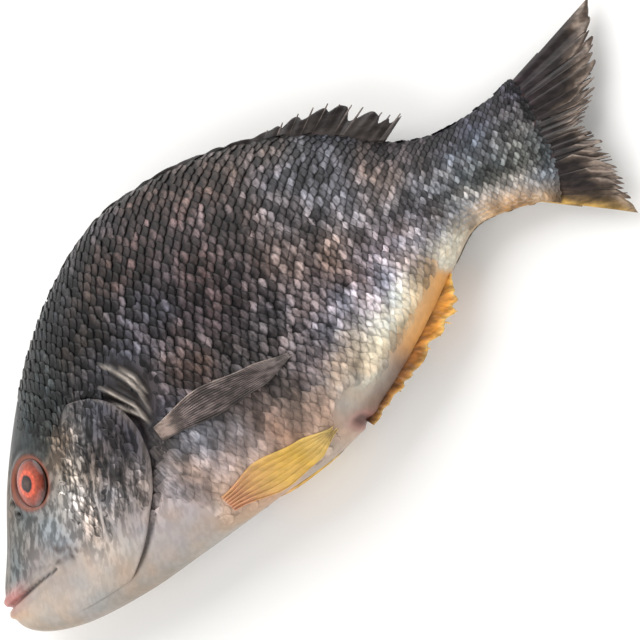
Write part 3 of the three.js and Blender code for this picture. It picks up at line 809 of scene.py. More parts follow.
def scale_tree():
    """Bends one small sheet into a scale and plants it on every point."""
    tree, given = open_tree("scales_on_points", [
        ("Roots", "Geometry", None), ("Length", "Float", 0.0066), ("Width", "Float", 0.0062),
        ("Lift", "Float", 0.00075), ("Crown", "Float", 0.00045), ("Material", "Material", None), ("Seed", "Int", 1),
    ], "Scales")
    sheet = add(tree, "GeometryNodeMeshGrid", None, Size_X=1.0, Size_Y=1.0, Vertices_X=7, Vertices_Y=7)
    at = add(tree, "ShaderNodeSeparateXYZ", None, add(tree, "GeometryNodeInputPosition")).node.outputs
    strip = add(tree, MATH, PLUS, at[0], 0.5)
    out = add(tree, MATH, SMALLER, add(tree, MATH, OVER, strip, 0.83), 1.0)
    side = add(tree, MATH, TIMES, at[1], 2.0)
    bow = add(tree, MATH, TIMES, side, side)
    short = add(tree, MATH, TIMES, add(tree, MATH, TIMES, bow, out), 0.42)
    reach = add(tree, MATH, TIMES, out, add(tree, MATH, MINUS, 1.0, short))
    x = add(tree, MATH, TIMES, given["Length"], add(tree, MATH, MINUS, reach, 0.3))
    y = add(tree, MATH, TIMES, given["Width"], at[1])
    wall = add(tree, MATH, TIMES, add(tree, MATH, {"operation": "GREATER_THAN"}, strip, 0.9), 0.00028)
    z = add(tree, MATH, TIMES, given["Lift"], add(tree, MATH, MINUS, out, 0.35))
    z = add(tree, MATH, MINUS, z, add(tree, MATH, TIMES, given["Crown"], bow))
    bent = add(tree, "ShaderNodeCombineXYZ", None, x, y, add(tree, MATH, MINUS, z, wall))
    on_points = {"data_type": "FLOAT", "domain": "POINT"}
    for key, value in (("scale_out", out), ("scale_side", side)):
        sheet = add(tree, "GeometryNodeStoreNamedAttribute", on_points, Geometry=sheet, Name=key, Value=value)
    sheet = add(tree, "GeometryNodeSetPosition", None, Geometry=sheet, Position=bent)
    outward_here, tailward_here, size_here = (
        add(tree, "GeometryNodeInputNamedAttribute", {"data_type": "FLOAT_VECTOR"}, name)
        for name in ("outward", "tailward", "size")
    )
    axes = {"primary_axis": "Z", "secondary_axis": "X"}
    facing = add(tree, "FunctionNodeAxesToRotation", axes, outward_here, tailward_here)
    planted = add(
        tree, "GeometryNodeInstanceOnPoints", None,
        Points=given["Roots"], Instance=sheet, Rotation=facing, Scale=size_here,
    )
    chance = add(tree, "FunctionNodeRandomValue", {"data_type": "FLOAT"}, Seed=given["Seed"])
    on_each = {"data_type": "FLOAT", "domain": "INSTANCE"}
    planted = add(
        tree, "GeometryNodeStoreNamedAttribute", on_each, Geometry=planted, Name="scale_tone", Value=chance
    )
    close_tree(tree, planted, given["Material"])
    return tree


SCALE_TREE = scale_tree()
print("node tree with", len(SCALE_TREE.nodes), "nodes")


# %% Turn a node tree's result into a plain mesh
def grown(source, tree, name, material, **inputs):
    """Runs the tree on source, keeps the result as a plain mesh and removes source."""
    modifier = source.modifiers.new("grow", "NODES")
    modifier.node_group = tree
    inputs["Material"] = material
    for item in tree.interface.items_tree:
        if item.item_type == "SOCKET" and item.in_out == "INPUT" and item.name in inputs:
            modifier[item.identifier] = inputs[item.name]
    seen = source.evaluated_get(bpy.context.evaluated_depsgraph_get())
    mesh = bpy.data.meshes.new_from_object(seen)
    mesh.name = name
    where = np.empty(len(mesh.vertices) * 3, np.float32)
    mesh.vertices.foreach_get("co", where)
    where = where.reshape(-1, 3)
    where[:, 2] = np.maximum(where[:, 2], 0)
    mesh.vertices.foreach_set("co", where.ravel())
    for unused in ("outward", "tailward", "size"):
        if unused in mesh.attributes:
            mesh.attributes.remove(mesh.attributes[unused])
    mesh.update()
    piece = bpy.data.objects.new(name, mesh)
    bpy.context.scene.collection.objects.link(piece)
    bpy.data.objects.remove(source)
    if not mesh.materials:
        mesh.materials.append(material)
    report(piece)
    return piece


print("inputs of the tree:", [item.name for item in SCALE_TREE.interface.items_tree if item.in_out == "INPUT"])


# %% [markdown]
# A bream of this size shows about 4 mm of each scale and has rows 5.5 mm apart, closer towards the tail. Each
# column of roots goes round the body, and rows are measured along the skin from the middle of the flank, so
# they run in clean lines from head to tail, as on the fish. The lips, the brow and the jaws are bare.

# %% Lay out the roots of the scales
def columns_of_scales(first, last, spacing):
    """t of each column of scales, spaced along the middle of the flank by spacing(share)."""
    fine = np.linspace(first, last, 4000)
    middle = flank(fine, 0.0, 1)
    travelled = np.concatenate([[0], np.cumsum(np.linalg.norm(np.diff(middle, axis=0), axis=1))])
    places, at = [], 0.0
    while at < travelled[-1]:
        t = np.interp(at, travelled, fine)
        places.append(t)
        at += spacing(middle[np.searchsorted(travelled, at), 0] / BODY_LENGTH)
    return places


def roots_of_scales(side, first, last, spacing, across, keep):
    """Points, up values and t values for scales on one side."""
    found_t, found_up = [], []
    fine_up = np.linspace(-1, 1, 801)
    for k, t in enumerate(columns_of_scales(first, last, spacing)):
        share = flank(t, 0.0, side)[0] / BODY_LENGTH
        arc = flank(np.full_like(fine_up, t), fine_up, np.full_like(fine_up, side))
        length = np.concatenate([[0], np.cumsum(np.linalg.norm(np.diff(arc, axis=0), axis=1))])
        length -= np.interp(0, fine_up, length)
        pitch = across(share)
        rows = np.arange(math.ceil(length[0] / pitch), math.floor(length[-1] / pitch) + 1) + 0.5 * (k % 2)
        rows = rows[(rows * pitch > length[0]) & (rows * pitch < length[-1])]
        ups = np.interp(rows * pitch, length, fine_up)
        found_t.append(np.full_like(ups, t))
        found_up.append(ups)
    t, up = np.concatenate(found_t), np.concatenate(found_up)
    rng = np.random.default_rng(41)
    t, up = t + rng.normal(0, 0.0011, t.shape), np.clip(up + rng.normal(0, 0.005, t.shape), -0.999, 0.999)
    x, y = flank(t, up, np.full_like(t, side))[..., :2].T
    kept = keep(x, y, t, up)
    return t[kept], up[kept]


print("columns of scales:", len(columns_of_scales(at_share(0.16), at_share(0.985), lambda share: 2.0)), "at 2 mm")


# %% What each root tells the tree
def scale_points(name, side, t, up, size, off_skin=None, sink=0.0, flatter=1.0):
    """A mesh of loose points with the directions and the place that each scale needs."""
    sides = np.full_like(t, side)
    out, back = outward(t, up, sides), tailward(t, up, sides)
    where = flank(t, up, sides)
    push, marks = relief(where[:, 0], where[:, 1], t, up)
    push = (push if off_skin is None else off_skin) - sink
    chest = 0.3 * (1 - rise(where[:, 0] / BODY_LENGTH, 0.42, 0.62))
    flat = 0.3 + 0.7 * rise(up - chest, -0.95, -0.35)  # belly scales hardly lift
    flat = flat * flatter * (1 - 0.4 * rise(where[:, 0], 0.6 * BODY_LENGTH, BODY_LENGTH))
    size = np.stack([size, size, size * flat], -1)
    where = where + out * (np.clip(push, -0.6, 1.0) + 0.12)[:, None]
    if side < 0:
        pressed = where[:, 2] < 0.45
        where[:, 2] = np.maximum(where[:, 2], 0.45)
        out = np.where(pressed[:, None], np.array([0, 0, -1.0]), out)
    back = unit(back - out * (back * out).sum(-1, keepdims=True))
    values = {"outward": out, "tailward": back, "size": size, "fish_along": where[:, 0] / BODY_LENGTH, "fish_up": up}
    return make_mesh(name, where, [], values={**values, **marks})


print("a root carries its directions, size, place and", len(SKIN_MARKS) - 2, "marks")


# %% Where scales grow
def on_gill_cover(t, up, margin=0.0):
    front, rear = gill_reach(up)
    length = rear - front
    level = (up > GILL_BOTTOM - 0.02) & (up < GILL_TOP + margin * 0.2)
    return level & (t > front + 0.04 * length) & (t < rear + margin * length)


def by_anal_fin(x, y):
    away, s = near(x, y, ANAL_BASE)
    return (away < 2.2) & (s < 0.97)


def flank_scaled(x, y, t, up):
    """Where the body's own scales grow: behind the head and over the nape, but not under a gill cover."""
    nape = (y > 30) & (x > 58 - 0.45 * (y - 30)) | (x > 84)
    rear = gill_reach(up)[1]
    chest = (up < GILL_TOP) & (t > rear) & ((up > GILL_BOTTOM + 0.18) | (x > 90))
    folds = np.minimum.reduce([near(x, y, fold)[0] for fold in SHOULDER_FOLDS])
    vent = np.hypot(x - VENT_X, y - VENT_Y)
    bare = on_gill_cover(t, up, 0.06) | by_anal_fin(x, y) | (folds <= 1.6) | (vent <= 9)
    return (nape | chest) & ~bare & (up < 0.995) & (up > -0.97)


def cheek_scaled(x, y, t, up):
    """The smaller scales of the cheek and the crown, behind the eye and above the jaws."""
    eye = np.hypot(x - EYE_X, y - EYE_Y)
    behind_eye = (x > 44) & (y > -12 + 0.15 * (60 - x))
    behind_eye &= cheek_streaks(x, y) < 0.5
    taken = on_gill_cover(t, up) | flank_scaled(x, y, t, up)
    return behind_eye & (eye > EYE_RADIUS + 4) & ~taken & (x < 84) & (up < 0.98)


def scaled_round(x, y, t, up, keep, reach):
    """Share of the places a few millimetres round each root that are scaled too: low along a border."""
    depth = np.linalg.norm(section(t)[1], axis=-1)
    inside = np.zeros_like(x)
    for angle in np.arange(8) * math.pi / 4:
        dx, dy = reach * math.cos(angle), reach * math.sin(angle)
        t_there = t + at_share((x + dx) / BODY_LENGTH) - at_share(x / BODY_LENGTH)
        inside += keep(x + dx, y + dy, t_there, np.clip(up + dy / depth, -0.96, 0.98))
    return inside / 8


def body_or_cheek(x, y, t, up):
    return flank_scaled(x, y, t, up) | cheek_scaled(x, y, t, up)


def how_deep_inside(side, t, up, keep, reach, low):
    """0 for roots at a border of the scaled skin, where scales are small and sunk, and 1 well inside it."""
    x, y = flank(t, up, np.full_like(t, side))[..., :2].T
    return rise(scaled_round(x, y, t, up, keep, reach), low, 0.95)


def body_pitch(share):
    """Millimetres between columns, half of what each scale shows, because columns alternate."""
    return 2.02 - 0.8 * rise(share, 0.45, 1.0)


def row_pitch(share):
    return 5.5 - 2.7 * rise(share, 0.45, 0.98)


def cheek_pitch(share):
    return 1.55


def cheek_rows(share):
    return 4.0


print("each scale shows, mm:", [round(float(2 * body_pitch(share)), 1) for share in (0.3, 0.6, 0.9)])

# %% Grow the scales of the body and the cheeks
SIDES = {"left": 1.0, "right": -1.0}
scale_pieces = {}
for label, side in SIDES.items():
    t, up = roots_of_scales(side, at_share(0.16), at_share(0.985), body_pitch, row_pitch, flank_scaled)
    size = 1.0 - 0.45 * rise(t, at_share(0.45), at_share(0.98)) - 0.12 * rise(up, 0.85, 1.0)
    size *= 1 - 0.3 * rise(-up, 0.8, 0.97)
    middle = how_deep_inside(side, t, up, body_or_cheek, 4.0, 0.4)
    roots = scale_points("roots", side, t, up, size * (0.55 + 0.45 * middle), sink=0.35 * (1 - middle))
    scale_pieces[label] = grown(roots, SCALE_TREE, f"{label}_flank_scales", SCALED, Seed=11)
    t, up = roots_of_scales(side, at_share(0.15), at_share(0.36), cheek_pitch, cheek_rows, cheek_scaled)
    middle = how_deep_inside(side, t, up, body_or_cheek, 5.0, 0.35)
    roots = scale_points("roots", side, t, up, 0.7 * (0.5 + 0.5 * middle), sink=0.35 * (1 - middle), flatter=0.6)
    scale_pieces[label + " cheek"] = grown(roots, SCALE_TREE, f"{label}_cheek_scales", SCALED, Seed=23)

# %% Scales over the root of the tail fin
def tail_scale_points(side):
    """Roots of the last, smallest scales, on the flesh that thins out over the tail fin."""
    rng = np.random.default_rng(29)
    columns = np.arange(-1.5, TAIL_ROOT_LENGTH - 1.2, 1.15)
    across = np.linspace(-0.93, 0.93, 17)
    shift = (across[1] - across[0]) / 2 * (np.arange(len(columns)) % 2)
    behind, up = np.meshgrid(columns, across, indexing="ij")
    up = np.clip(up + shift[:, None] + rng.normal(0, 0.012, up.shape), -0.97, 0.97).ravel()
    behind = (behind + rng.normal(0, 0.2, behind.shape)).ravel()
    sides = np.full_like(up, side)
    back = unit(tail_root(up, behind + 0.5, sides) - tail_root(up, behind - 0.5, sides))
    over = tail_root(np.minimum(up + 0.01, 0.99), behind, sides) - tail_root(up - 0.01, behind, sides)
    out = unit(np.cross(back, over)) * sides[:, None]
    where = tail_root(up, behind, sides) + out * 0.1
    share = 0.56 - 0.26 * rise(behind, 0, TAIL_ROOT_LENGTH)
    marks = {name: np.zeros_like(up) for name in SKIN_MARKS[2:]}
    marks["dark"] = 0.6 * rise(behind, -1, TAIL_ROOT_LENGTH)
    marks["pink"] = 0.12 * rise(behind, 0, TAIL_ROOT_LENGTH)
    values = {
        "outward": out, "tailward": back, "size": np.stack([share, share * 0.95, share * 0.5], -1),
        "fish_along": where[:, 0] / BODY_LENGTH, "fish_up": up, **marks,
    }
    return make_mesh("roots", where, [], values=values)


for label, side in SIDES.items():
    name = f"{label}_tail_root_scales"
    scale_pieces[label + " tail root"] = grown(tail_scale_points(side), SCALE_TREE, name, SCALED, Seed=37)

# %% [markdown]
# ## Gill covers
# The gill cover is a set of thin bones under skin, hinged in front and free behind, where water leaves. It is
# a curved plate a bit over a millimetre thick that follows the flank, flush in front and standing off behind,
# with a soft pale membrane round its free edge. One closed plate from two facing grids makes it, and smaller
# scales are planted on it with the same node tree as on the flank.

# %% Gill covers
def gill_plate(side):
    rows, columns = 110, 56
    v, u = np.meshgrid(np.linspace(0, 1, rows), np.linspace(0, 1, columns), indexing="ij")
    up = GILL_BOTTOM + (GILL_TOP - GILL_BOTTOM) * v
    front, rear = gill_reach(up)
    t = front + (rear - front) * u
    sides = np.full_like(t, side)
    skin, out = flank(t, up, sides), outward(t, up, sides)
    x, y = skin[..., 0], skin[..., 1]
    folds = np.zeros_like(x)
    for fold in CHEEK_FOLDS:
        away, s = near(x, y, fold)
        folds += fading(s, 0.6) * (0.3 * bell(away - 1.6, 0.9) - 0.5 * bell(away, 0.8))
    edge = np.minimum.reduce([(1 - u) / 0.05, u / 0.06, (1 - v) / 0.06, v / 0.05])  # thins towards all four
    round_off = np.sqrt(np.clip(1 - (1 - np.clip(edge, 0, 1)) ** 2, 0, 1))
    ripple = 0.18 * np.sin(v * 41) * rise(u, 0.75, 1.0)
    outer = 0.1 + 0.85 * rise(u, 0.0, 0.85) + folds + ripple - 0.75 * (1 - round_off)
    inner = outer - 0.15 - 1.15 * round_off
    pressed = np.maximum(0, outer - skin[..., 2]) if side < 0 else np.zeros_like(x)
    lift = pressed[..., None] * np.array([0, 0, 1.0])
    # dark: painted shade at the bottom of the fold grooves, plus the cheek's streaks of pigment
    values = {
        "fish_along": x / BODY_LENGTH, "fish_up": up, "rim": rise(u, 0.93, 0.985), "pale": np.zeros_like(x),
        "dark": np.clip(0.3 * bell(folds - folds.min(), 0.15) + cheek_streaks(x, y), 0, 0.95), "pink": np.zeros_like(x),
    }
    return skin + out * outer[..., None] + lift, skin + out * inner[..., None] + lift, values


upper, lower, _ = gill_plate(1.0)
print("the cover is up to", np.linalg.norm(upper - lower, axis=-1).max().round(2), "mm thick")


# %% Material: gill cover
def gill_skin():
    """Silvery skin over bone. Dark pigment lies in streaks a few millimetres long, the bottoms of the fold grooves
    carry painted shade, and the free rim is pale.
    """
    material, tree = new_material("silvery_gill_cover_skin")
    colour, mark = skin_colour(tree)
    streaks = add(tree, SPAN, SMOOTHLY, grain(tree, 0.5, 3.0, (3.6, 0.8, 1), 0.9), 0.42, 0.58, 0.3, 1.7)
    streaked = add(tree, SPAN, SMOOTHLY, mark["fish_up"], -0.8, -0.2, 0.1, 1.0)
    colour = add(tree, MIX, TINT, 1.0, colour, eased(tree, streaks, streaked))
    # dark: the cheek's streaks of pigment, and painted shade at the bottom of the fold grooves
    colour = add(tree, MIX, COVER, mark["dark"], colour, srgb("100f10"))
    rim = add(tree, "ShaderNodeAttribute", {"attribute_name": "rim", "take": "Fac"})
    colour = add(tree, MIX, COVER, add(tree, MATH, TIMES, rim, 0.3), colour, srgb("7a706c"))
    bump = add(tree, "ShaderNodeBump", None, Strength=0.3, Distance=0.0003, Height=grain(tree, 0.8, 4.0))
    wet(tree, colour, 0.4, 0.1, bump, specular=0.27)
    return material


GILL_SKIN = gill_skin()
gill_pieces = {}
for label, side in SIDES.items():
    outer, inner, values = gill_plate(side)
    gill_pieces[label] = closed_plate(f"{label}_gill_cover_plate", outer, inner, GILL_SKIN, values)
    report(gill_pieces[label])


# %% Scales on the gill covers
def cover_scaled(x, y, t, up):
    front, rear = gill_reach(up)
    u = (t - front) / (rear - front)
    clear = (up > GILL_BOTTOM + 0.3) & (up < GILL_TOP - 0.02) & (cheek_streaks(x, y) < 0.5)
    return clear & (u > 0.02) & (u < 0.93)


def cover_or_cheek(x, y, t, up):
    return cover_scaled(x, y, t, up) | cheek_scaled(x, y, t, up)


for label, side in SIDES.items():
    t, up = roots_of_scales(side, at_share(0.16), at_share(0.37), cheek_pitch, cheek_rows, cover_scaled)
    front, rear = gill_reach(up)
    stand = 0.1 + 0.85 * rise((t - front) / (rear - front), 0.0, 0.85)
    middle = how_deep_inside(side, t, up, cover_or_cheek, 5.0, 0.35)
    size = 0.72 * (0.45 + 0.55 * middle)
    roots = scale_points("roots", side, t, up, size, off_skin=stand, sink=0.35 * (1 - middle), flatter=0.6)
    gill_pieces[label + " scales"] = grown(roots, SCALE_TREE, f"{label}_gill_cover_scales", SCALED, Seed=31)

# %% [markdown]
# ## Eyes
# A bream's eye is a clear dome over a flat iris: a dark pupil, a bright ring round it, then deep orange-red.
# Refraction makes the iris seem to lie at the surface, so one glossy dome carries the rings as a function of
# the distance from its axis. The dome is a closed solid of revolution, turned by its mesh, not by its object.

# %% Material: eye
CORNEA_IOR = 1.376


def eye_surface():
    """A wet cornea, very smooth, over an iris with fine radial grain."""
    material, tree = new_material("wet_fish_eye")
    ring = add(tree, "ShaderNodeAttribute", {"attribute_name": "eye_r", "take": "Fac"})
    wander = add(tree, MATH, TIMES, add(tree, MATH, MINUS, grain(tree, 0.5, 3.0), 0.5), 0.16)
    rings = {"stops": [
        (0.0, "4a362e"), (0.18, "33201c"), (0.27, "150c0a"), (0.33, "2a100c"), (0.38, "b54c36"), (0.48, "cc5438"),
        (0.6, "93402b"), (0.78, "813827"), (0.9, "5c2a20"), (1.0, "33221d"),
    ]}
    colour = add(tree, RAMP, rings, add(tree, MATH, PLUS, ring, wander))
    fleck = add(tree, SPAN, SMOOTHLY, grain(tree, 1.1, 3.0), 0.3, 0.7, 0.75, 1.2)
    wet(tree, add(tree, MIX, TINT, 1.0, colour, fleck), 0.2, 0.5)
    tree.nodes["Principled BSDF"].inputs["Coat Roughness"].default_value = 0.03
    tree.nodes["Principled BSDF"].inputs["Coat IOR"].default_value = CORNEA_IOR
    return material


EYE_SURFACE = eye_surface()
print("made", EYE_SURFACE.name)


# %% Eyes
def eye_dome(name, side):
    rings, around = 30, 64
    t, up = at_share(0.154), 0.336
    centre = flank(t, up, side)
    axis = outward(np.array(t), np.array(up), side)
    axis = unit(axis + np.array([-0.1, 0.04, 0.0]))
    tail = unit(tailward(t, up, side) - axis * (tailward(t, up, side) * axis).sum())
    other = np.cross(axis, tail)
    r = EYE_RADIUS * np.sin(np.linspace(0.02, 1, rings) * math.pi / 2)
    height = 2.9 * np.sqrt(np.maximum(1 - (r / (EYE_RADIUS * 1.06)) ** 2, 0)) - 1.1
    angle = np.linspace(0, 2 * math.pi, around, endpoint=False)
    disc = np.cos(angle)[:, None] * tail + np.sin(angle)[:, None] * other
    points = [centre + axis * h + disc * radius for radius, h in zip(r, height)]
    points += [centre - axis * 2.6 + disc * EYE_RADIUS * 0.9]
    points = np.concatenate(points + [[centre + axis * 1.8], [centre - axis * 3.2]])
    front, behind = (rings + 1) * around, (rings + 1) * around + 1
    faces = grid_faces(rings + 1, around, wrap=True).tolist()
    for c in range(around):
        n = (c + 1) % around
        faces += [[front, c, n], [behind, rings * around + n, rings * around + c]]
    share = np.concatenate([np.repeat(r / EYE_RADIUS, around), np.ones(around), [0, 1]])
    piece = make_mesh(name, points, faces, material=EYE_SURFACE, values={"eye_r": share})
    face_out(piece)
    report(piece)
    return piece


eye_pieces = {label: eye_dome(f"{label}_eye_dome", side) for label, side in SIDES.items()}

# %% [markdown]
# ## Fins
# A fin is a fan of bony rays joined by a skin as thin as paper. On a landed fish it folds, and its free edge
# frays between the rays. Each fin is built twice over, as on the fish: a closed membrane with a ragged edge,
# and rays as tapering rods, which Geometry Nodes sweep along lines, each point with its own radius.

# %% The node tree for fin rays
def ray_tree():
    """Sweeps a rod along every line, with each point's own radius."""
    tree, given = open_tree("rays_on_lines", [
        ("Lines", "Geometry", None), ("Sides", "Int", 8), ("Material", "Material", None),
    ], "Rays")
    curve = add(tree, "GeometryNodeMeshToCurve", None, Mesh=given["Lines"])
    circle = add(tree, "GeometryNodeCurvePrimitiveCircle", None, Resolution=given["Sides"], Radius=1.0)
    radius = add(tree, "GeometryNodeInputNamedAttribute", {"data_type": "FLOAT"}, "ray_radius")
    rods = add(
        tree, "GeometryNodeCurveToMesh", None, Curve=curve, Profile_Curve=circle, Scale=radius, Fill_Caps=True
    )
    close_tree(tree, rods, given["Material"])
    return tree


RAY_TREE = ray_tree()
print("node tree with", len(RAY_TREE.nodes), "nodes")


# %% Grow rays
def rays(name, lines, material):
    """Rods along lines. Each line is (points, radii in mm, fin_u of the ray)."""
    points, edges, radius, place, height = [], [], [], [], []
    for line, radii, fin_u in lines:
        start = len(points)
        points += list(line)
        edges += [(start + i, start + i + 1) for i in range(len(line) - 1)]
        radius += list(np.asarray(radii) * MM)
        place += [fin_u] * len(line)
        height += list(np.linspace(0, 1, len(line)))
    values = {"ray_radius": radius, "fin_u": place, "fin_v": height}
    source = make_mesh("lines", np.array(points), [], edges=edges, values=values)
    return grown(source, RAY_TREE, name, material, Sides=8)


print("a ray is a rod with 8 sides")

# %% [markdown]
# ### Fin skin
# All fins share one build: thin wet skin over bone, with pigment in uneven patches. What differs is the pigment.
# The dorsal fin and the tail are nearly black, so they read as silhouettes, and the tail's lower edge turns tan.
# The anal fin is orange and the pelvic fin a clear yellow, both thin enough that light spreads inside them. The
# pectoral is a grey film over the flank, with a painted shadow along its lower edge and a painted highlight along
# its upper edge. Rays are bone under the same skin, in nearly its tones, and those of the dorsal fin pale towards
# their tips.

# %% Materials: fin skin
def fin_skin(name, across, along, share, clear=0.0, uneven=0.37):
    """Wet fin skin. across is its ramp from root to edge, along a ramp from front to rear, and share how much of it
    shows. clear is how much light spreads inside, uneven how patchy the pigment is."""
    material, tree = new_material(name)
    u, v = (add(tree, "ShaderNodeAttribute", {"attribute_name": key, "take": "Fac"}) for key in ("fin_u", "fin_v"))
    wander = add(tree, MATH, TIMES, add(tree, MATH, MINUS, grain(tree, 0.12, 4.0), 0.5), 0.5)
    colour = add(tree, RAMP, {"stops": across}, add(tree, MATH, PLUS, v, wander))
    place = add(tree, MATH, TIMES_PLUS, wander, 0.15, u)
    fading_out = add(tree, MATH, TIMES, add(tree, MATH, POWER, v, 3.0), 0.6)
    shown = add(tree, MATH, TIMES, add(tree, RAMP, {"stops": share}, place), add(tree, MATH, MINUS, 1.0, fading_out))
    colour = add(tree, MIX, COVER, shown, colour, add(tree, RAMP, {"stops": along}, place))
    patches = grain(tree, 0.35, 4.0, (1.8, 0.7, 1.0), -0.4)
    patches = add(tree, SPAN, SMOOTHLY, patches, 0.36, 0.64, 1 - uneven, 1 + uneven)
    bump = add(tree, "ShaderNodeBump", None, Strength=0.4, Distance=0.0002, Height=grain(tree, 1.2, 3.0))
    wet(tree, add(tree, MIX, TINT, 1.0, colour, patches), 0.42, 0.25, bump, subsurface=clear)
    return material


NONE, ALL = "000000", "ffffff"
REAR_ONLY = [(0.0, NONE), (0.7, NONE), (1.0, "777777")]
LOWER_EDGE_ONLY = [(0.0, NONE), (0.9, NONE), (0.965, "777777"), (1.0, ALL)]
DARK_WEB = fin_skin(
    "dark_dorsal_fin_membrane", [(0.0, "3a3432"), (0.5, "2a2523"), (1.0, "262120")],
    [(0.0, "3a3432"), (1.0, "5a4f4a")], REAR_ONLY,
)
DARK_RAY = fin_skin(
    "dorsal_fin_ray_bone", [(0.0, "3c3634"), (0.5, "4a423f"), (1.0, "7c716b")],
    [(0.0, "3c3634"), (1.0, "6b605b")], REAR_ONLY,
)
TAIL_WEB = fin_skin(
    "dark_tail_fin_membrane",
    [(0.0, "42343d"), (0.3, "2c2326"), (0.72, "25201e"), (0.88, "4a3f38"), (0.96, "83756a"), (1.0, "5a4d45")],
    [(0.0, "2f2927"), (0.9, "5a4636"), (0.96, "94764c"), (1.0, "b8934e")], LOWER_EDGE_ONLY,
)
TAIL_RAY = fin_skin(
    "tail_fin_ray_bone", [(0.0, "3c3438"), (0.4, "312929"), (0.8, "2a2422"), (1.0, "2c2623")],
    [(0.0, "332c2a"), (0.9, "5a4636"), (0.96, "94764c"), (1.0, "b8934e")], LOWER_EDGE_ONLY,
)
PELVIC_WEB = fin_skin(
    "yellow_pelvic_fin_membrane", [(0.0, "c0896c"), (0.25, "c49a5c"), (0.6, "cba348"), (1.0, "cdb070")],
    [(0.0, "b8874c"), (0.5, "caa24c"), (1.0, "d2ae70")], [(0.0, "555555"), (0.5, "222222"), (1.0, "555555")],
    clear=0.15, uneven=0.12,
)
ANAL_WEB = fin_skin(
    "orange_anal_fin_membrane", [(0.0, "8a5e3c"), (0.3, "a06a30"), (0.7, "c88630"), (1.0, "d8b064")],
    [(0.0, "4f3224"), (0.35, "6e452a"), (0.55, "a8682c"), (0.7, "d09030"), (1.0, "dcae54")],
    [(0.0, ALL), (0.4, "dddddd"), (0.6, "666666"), (1.0, "666666")], clear=0.15,
)
# Its second ramp runs from the fin's lower to its upper edge: the near-black end is a painted shadow, the pale end a
# painted highlight.
PECTORAL_WEB = fin_skin(
    "clear_pectoral_fin_membrane", [(0.0, "85746b"), (0.3, "6a5e5b"), (0.7, "605552"), (1.0, "746a66")],
    [(0.0, "1d1817"), (0.5, "4a4240"), (1.0, "a89a90")],
    [(0.0, ALL), (0.14, "444444"), (0.5, NONE), (0.88, "111111"), (1.0, "cccccc")], clear=0.1, uneven=0.55,
)
print("made the fin materials")


# %% [markdown]
# ### Fins along the back and the belly
# A fin's outline is given as heights at a few places along it. Its free edge is torn between the rays, and the
# tears are as deep as chance makes them, with a fixed seed. The membrane runs a few millimetres into the body.

# %% Outline, root line and tears of a fin
def outline(pairs):
    """A smooth curve through (place, value) pairs."""
    places, heights = np.array(pairs, float).T

    def value(at):
        at = np.clip(at, 0, 1)
        i = np.clip(np.searchsorted(places, at, side="left"), 1, len(places) - 1)
        s = (at - places[i - 1]) / (places[i] - places[i - 1])
        s = s * s * (3 - 2 * s)
        return heights[i - 1] + (heights[i] - heights[i - 1]) * s

    return value


def off_edge(t, which, out, back):
    """A point off the back (1) or belly (-1) edge at t: out is away from the body, back towards the tail."""
    centre, reach, _ = section(t)
    line = BACK_LINE if which > 0 else BELLY_LINE
    ahead = smooth(line, np.asarray(t) + 0.002) - smooth(line, np.asarray(t) - 0.002)
    tangent = unit(np.concatenate([ahead, np.zeros_like(ahead[..., :1])], -1))
    away = np.stack([-tangent[..., 1], tangent[..., 0], np.zeros_like(tangent[..., 0])], -1) * which
    return centre + reach * which + away * np.asarray(out)[..., None] + tangent * np.asarray(back)[..., None]


def ragged(u, spots, depth, seed, width):
    """Share of the fin that is left at u: torn notches between the rays at spots."""
    rng = np.random.default_rng(seed)
    left = np.ones_like(u)
    for spot in spots:
        torn = depth * rng.uniform(0.15, 1.0) ** 1.6
        left -= torn * bell(u - spot - rng.normal(0, width * 0.4), width * rng.uniform(0.6, 1.3))
    return np.clip(left, 0.25, 1)


torn = ragged(np.linspace(0, 1, 500), np.linspace(0.1, 0.9, 9), 0.55, 5, 0.02)
print("a torn edge keeps at least", torn.min().round(2), "of its height")


# %% One fin on an edge of the body
def edge_fin(name, which, begin, end, height, sweep, shape, ray_places, rag, seed, web, bone, thick, radius, lean):
    """A fin along the back or the belly: a ragged membrane and its rays. Returns both pieces."""
    first, last = at_share(begin), at_share(end)
    rng = np.random.default_rng(seed)
    between = (np.array(ray_places)[1:] + np.array(ray_places)[:-1]) / 2
    rows, columns = 420, 14
    u, v = np.meshgrid(np.linspace(0, 1, rows), np.linspace(0, 1, columns), indexing="ij")
    left = ragged(u, between, rag, seed, 0.35 / len(ray_places))

    def place(u, v, tall):
        t = first + (last - first) * u
        root = off_edge(t, which, np.full_like(u, -3.0), np.zeros_like(u))
        tip = off_edge(t, which, height * shape(u) * tall, sweep * shape(u) * tall)
        point = root + (tip - root) * v[..., None]
        point[..., 2] += lean * np.sin(u * 37 + seed) * v**2 + 0.15 * np.sin(u * 190) * v
        return point

    middle = place(u, v, left)
    half = (thick * (1 - 0.65 * v) / 2)[..., None] * np.array([0, 0, 1.0])
    values = {"fin_u": u, "fin_v": np.clip((v - 0.2) / 0.8, 0, 1) * np.ones_like(u)}
    membrane = closed_plate(f"{name}_membrane", middle + half, middle - half, web, values)
    report(membrane)
    lines = []
    for at in ray_places:
        reach = np.linspace(0, 1, 9)
        tall = rng.uniform(0.95, 1.06)
        one = place(np.full_like(reach, at), reach, np.full_like(reach, tall))
        lines.append((one, radius * (1.25 - 0.9 * reach), at))
    return membrane, rays(f"{name}_rays", lines, bone)


print("edge_fin makes a membrane and its rays")

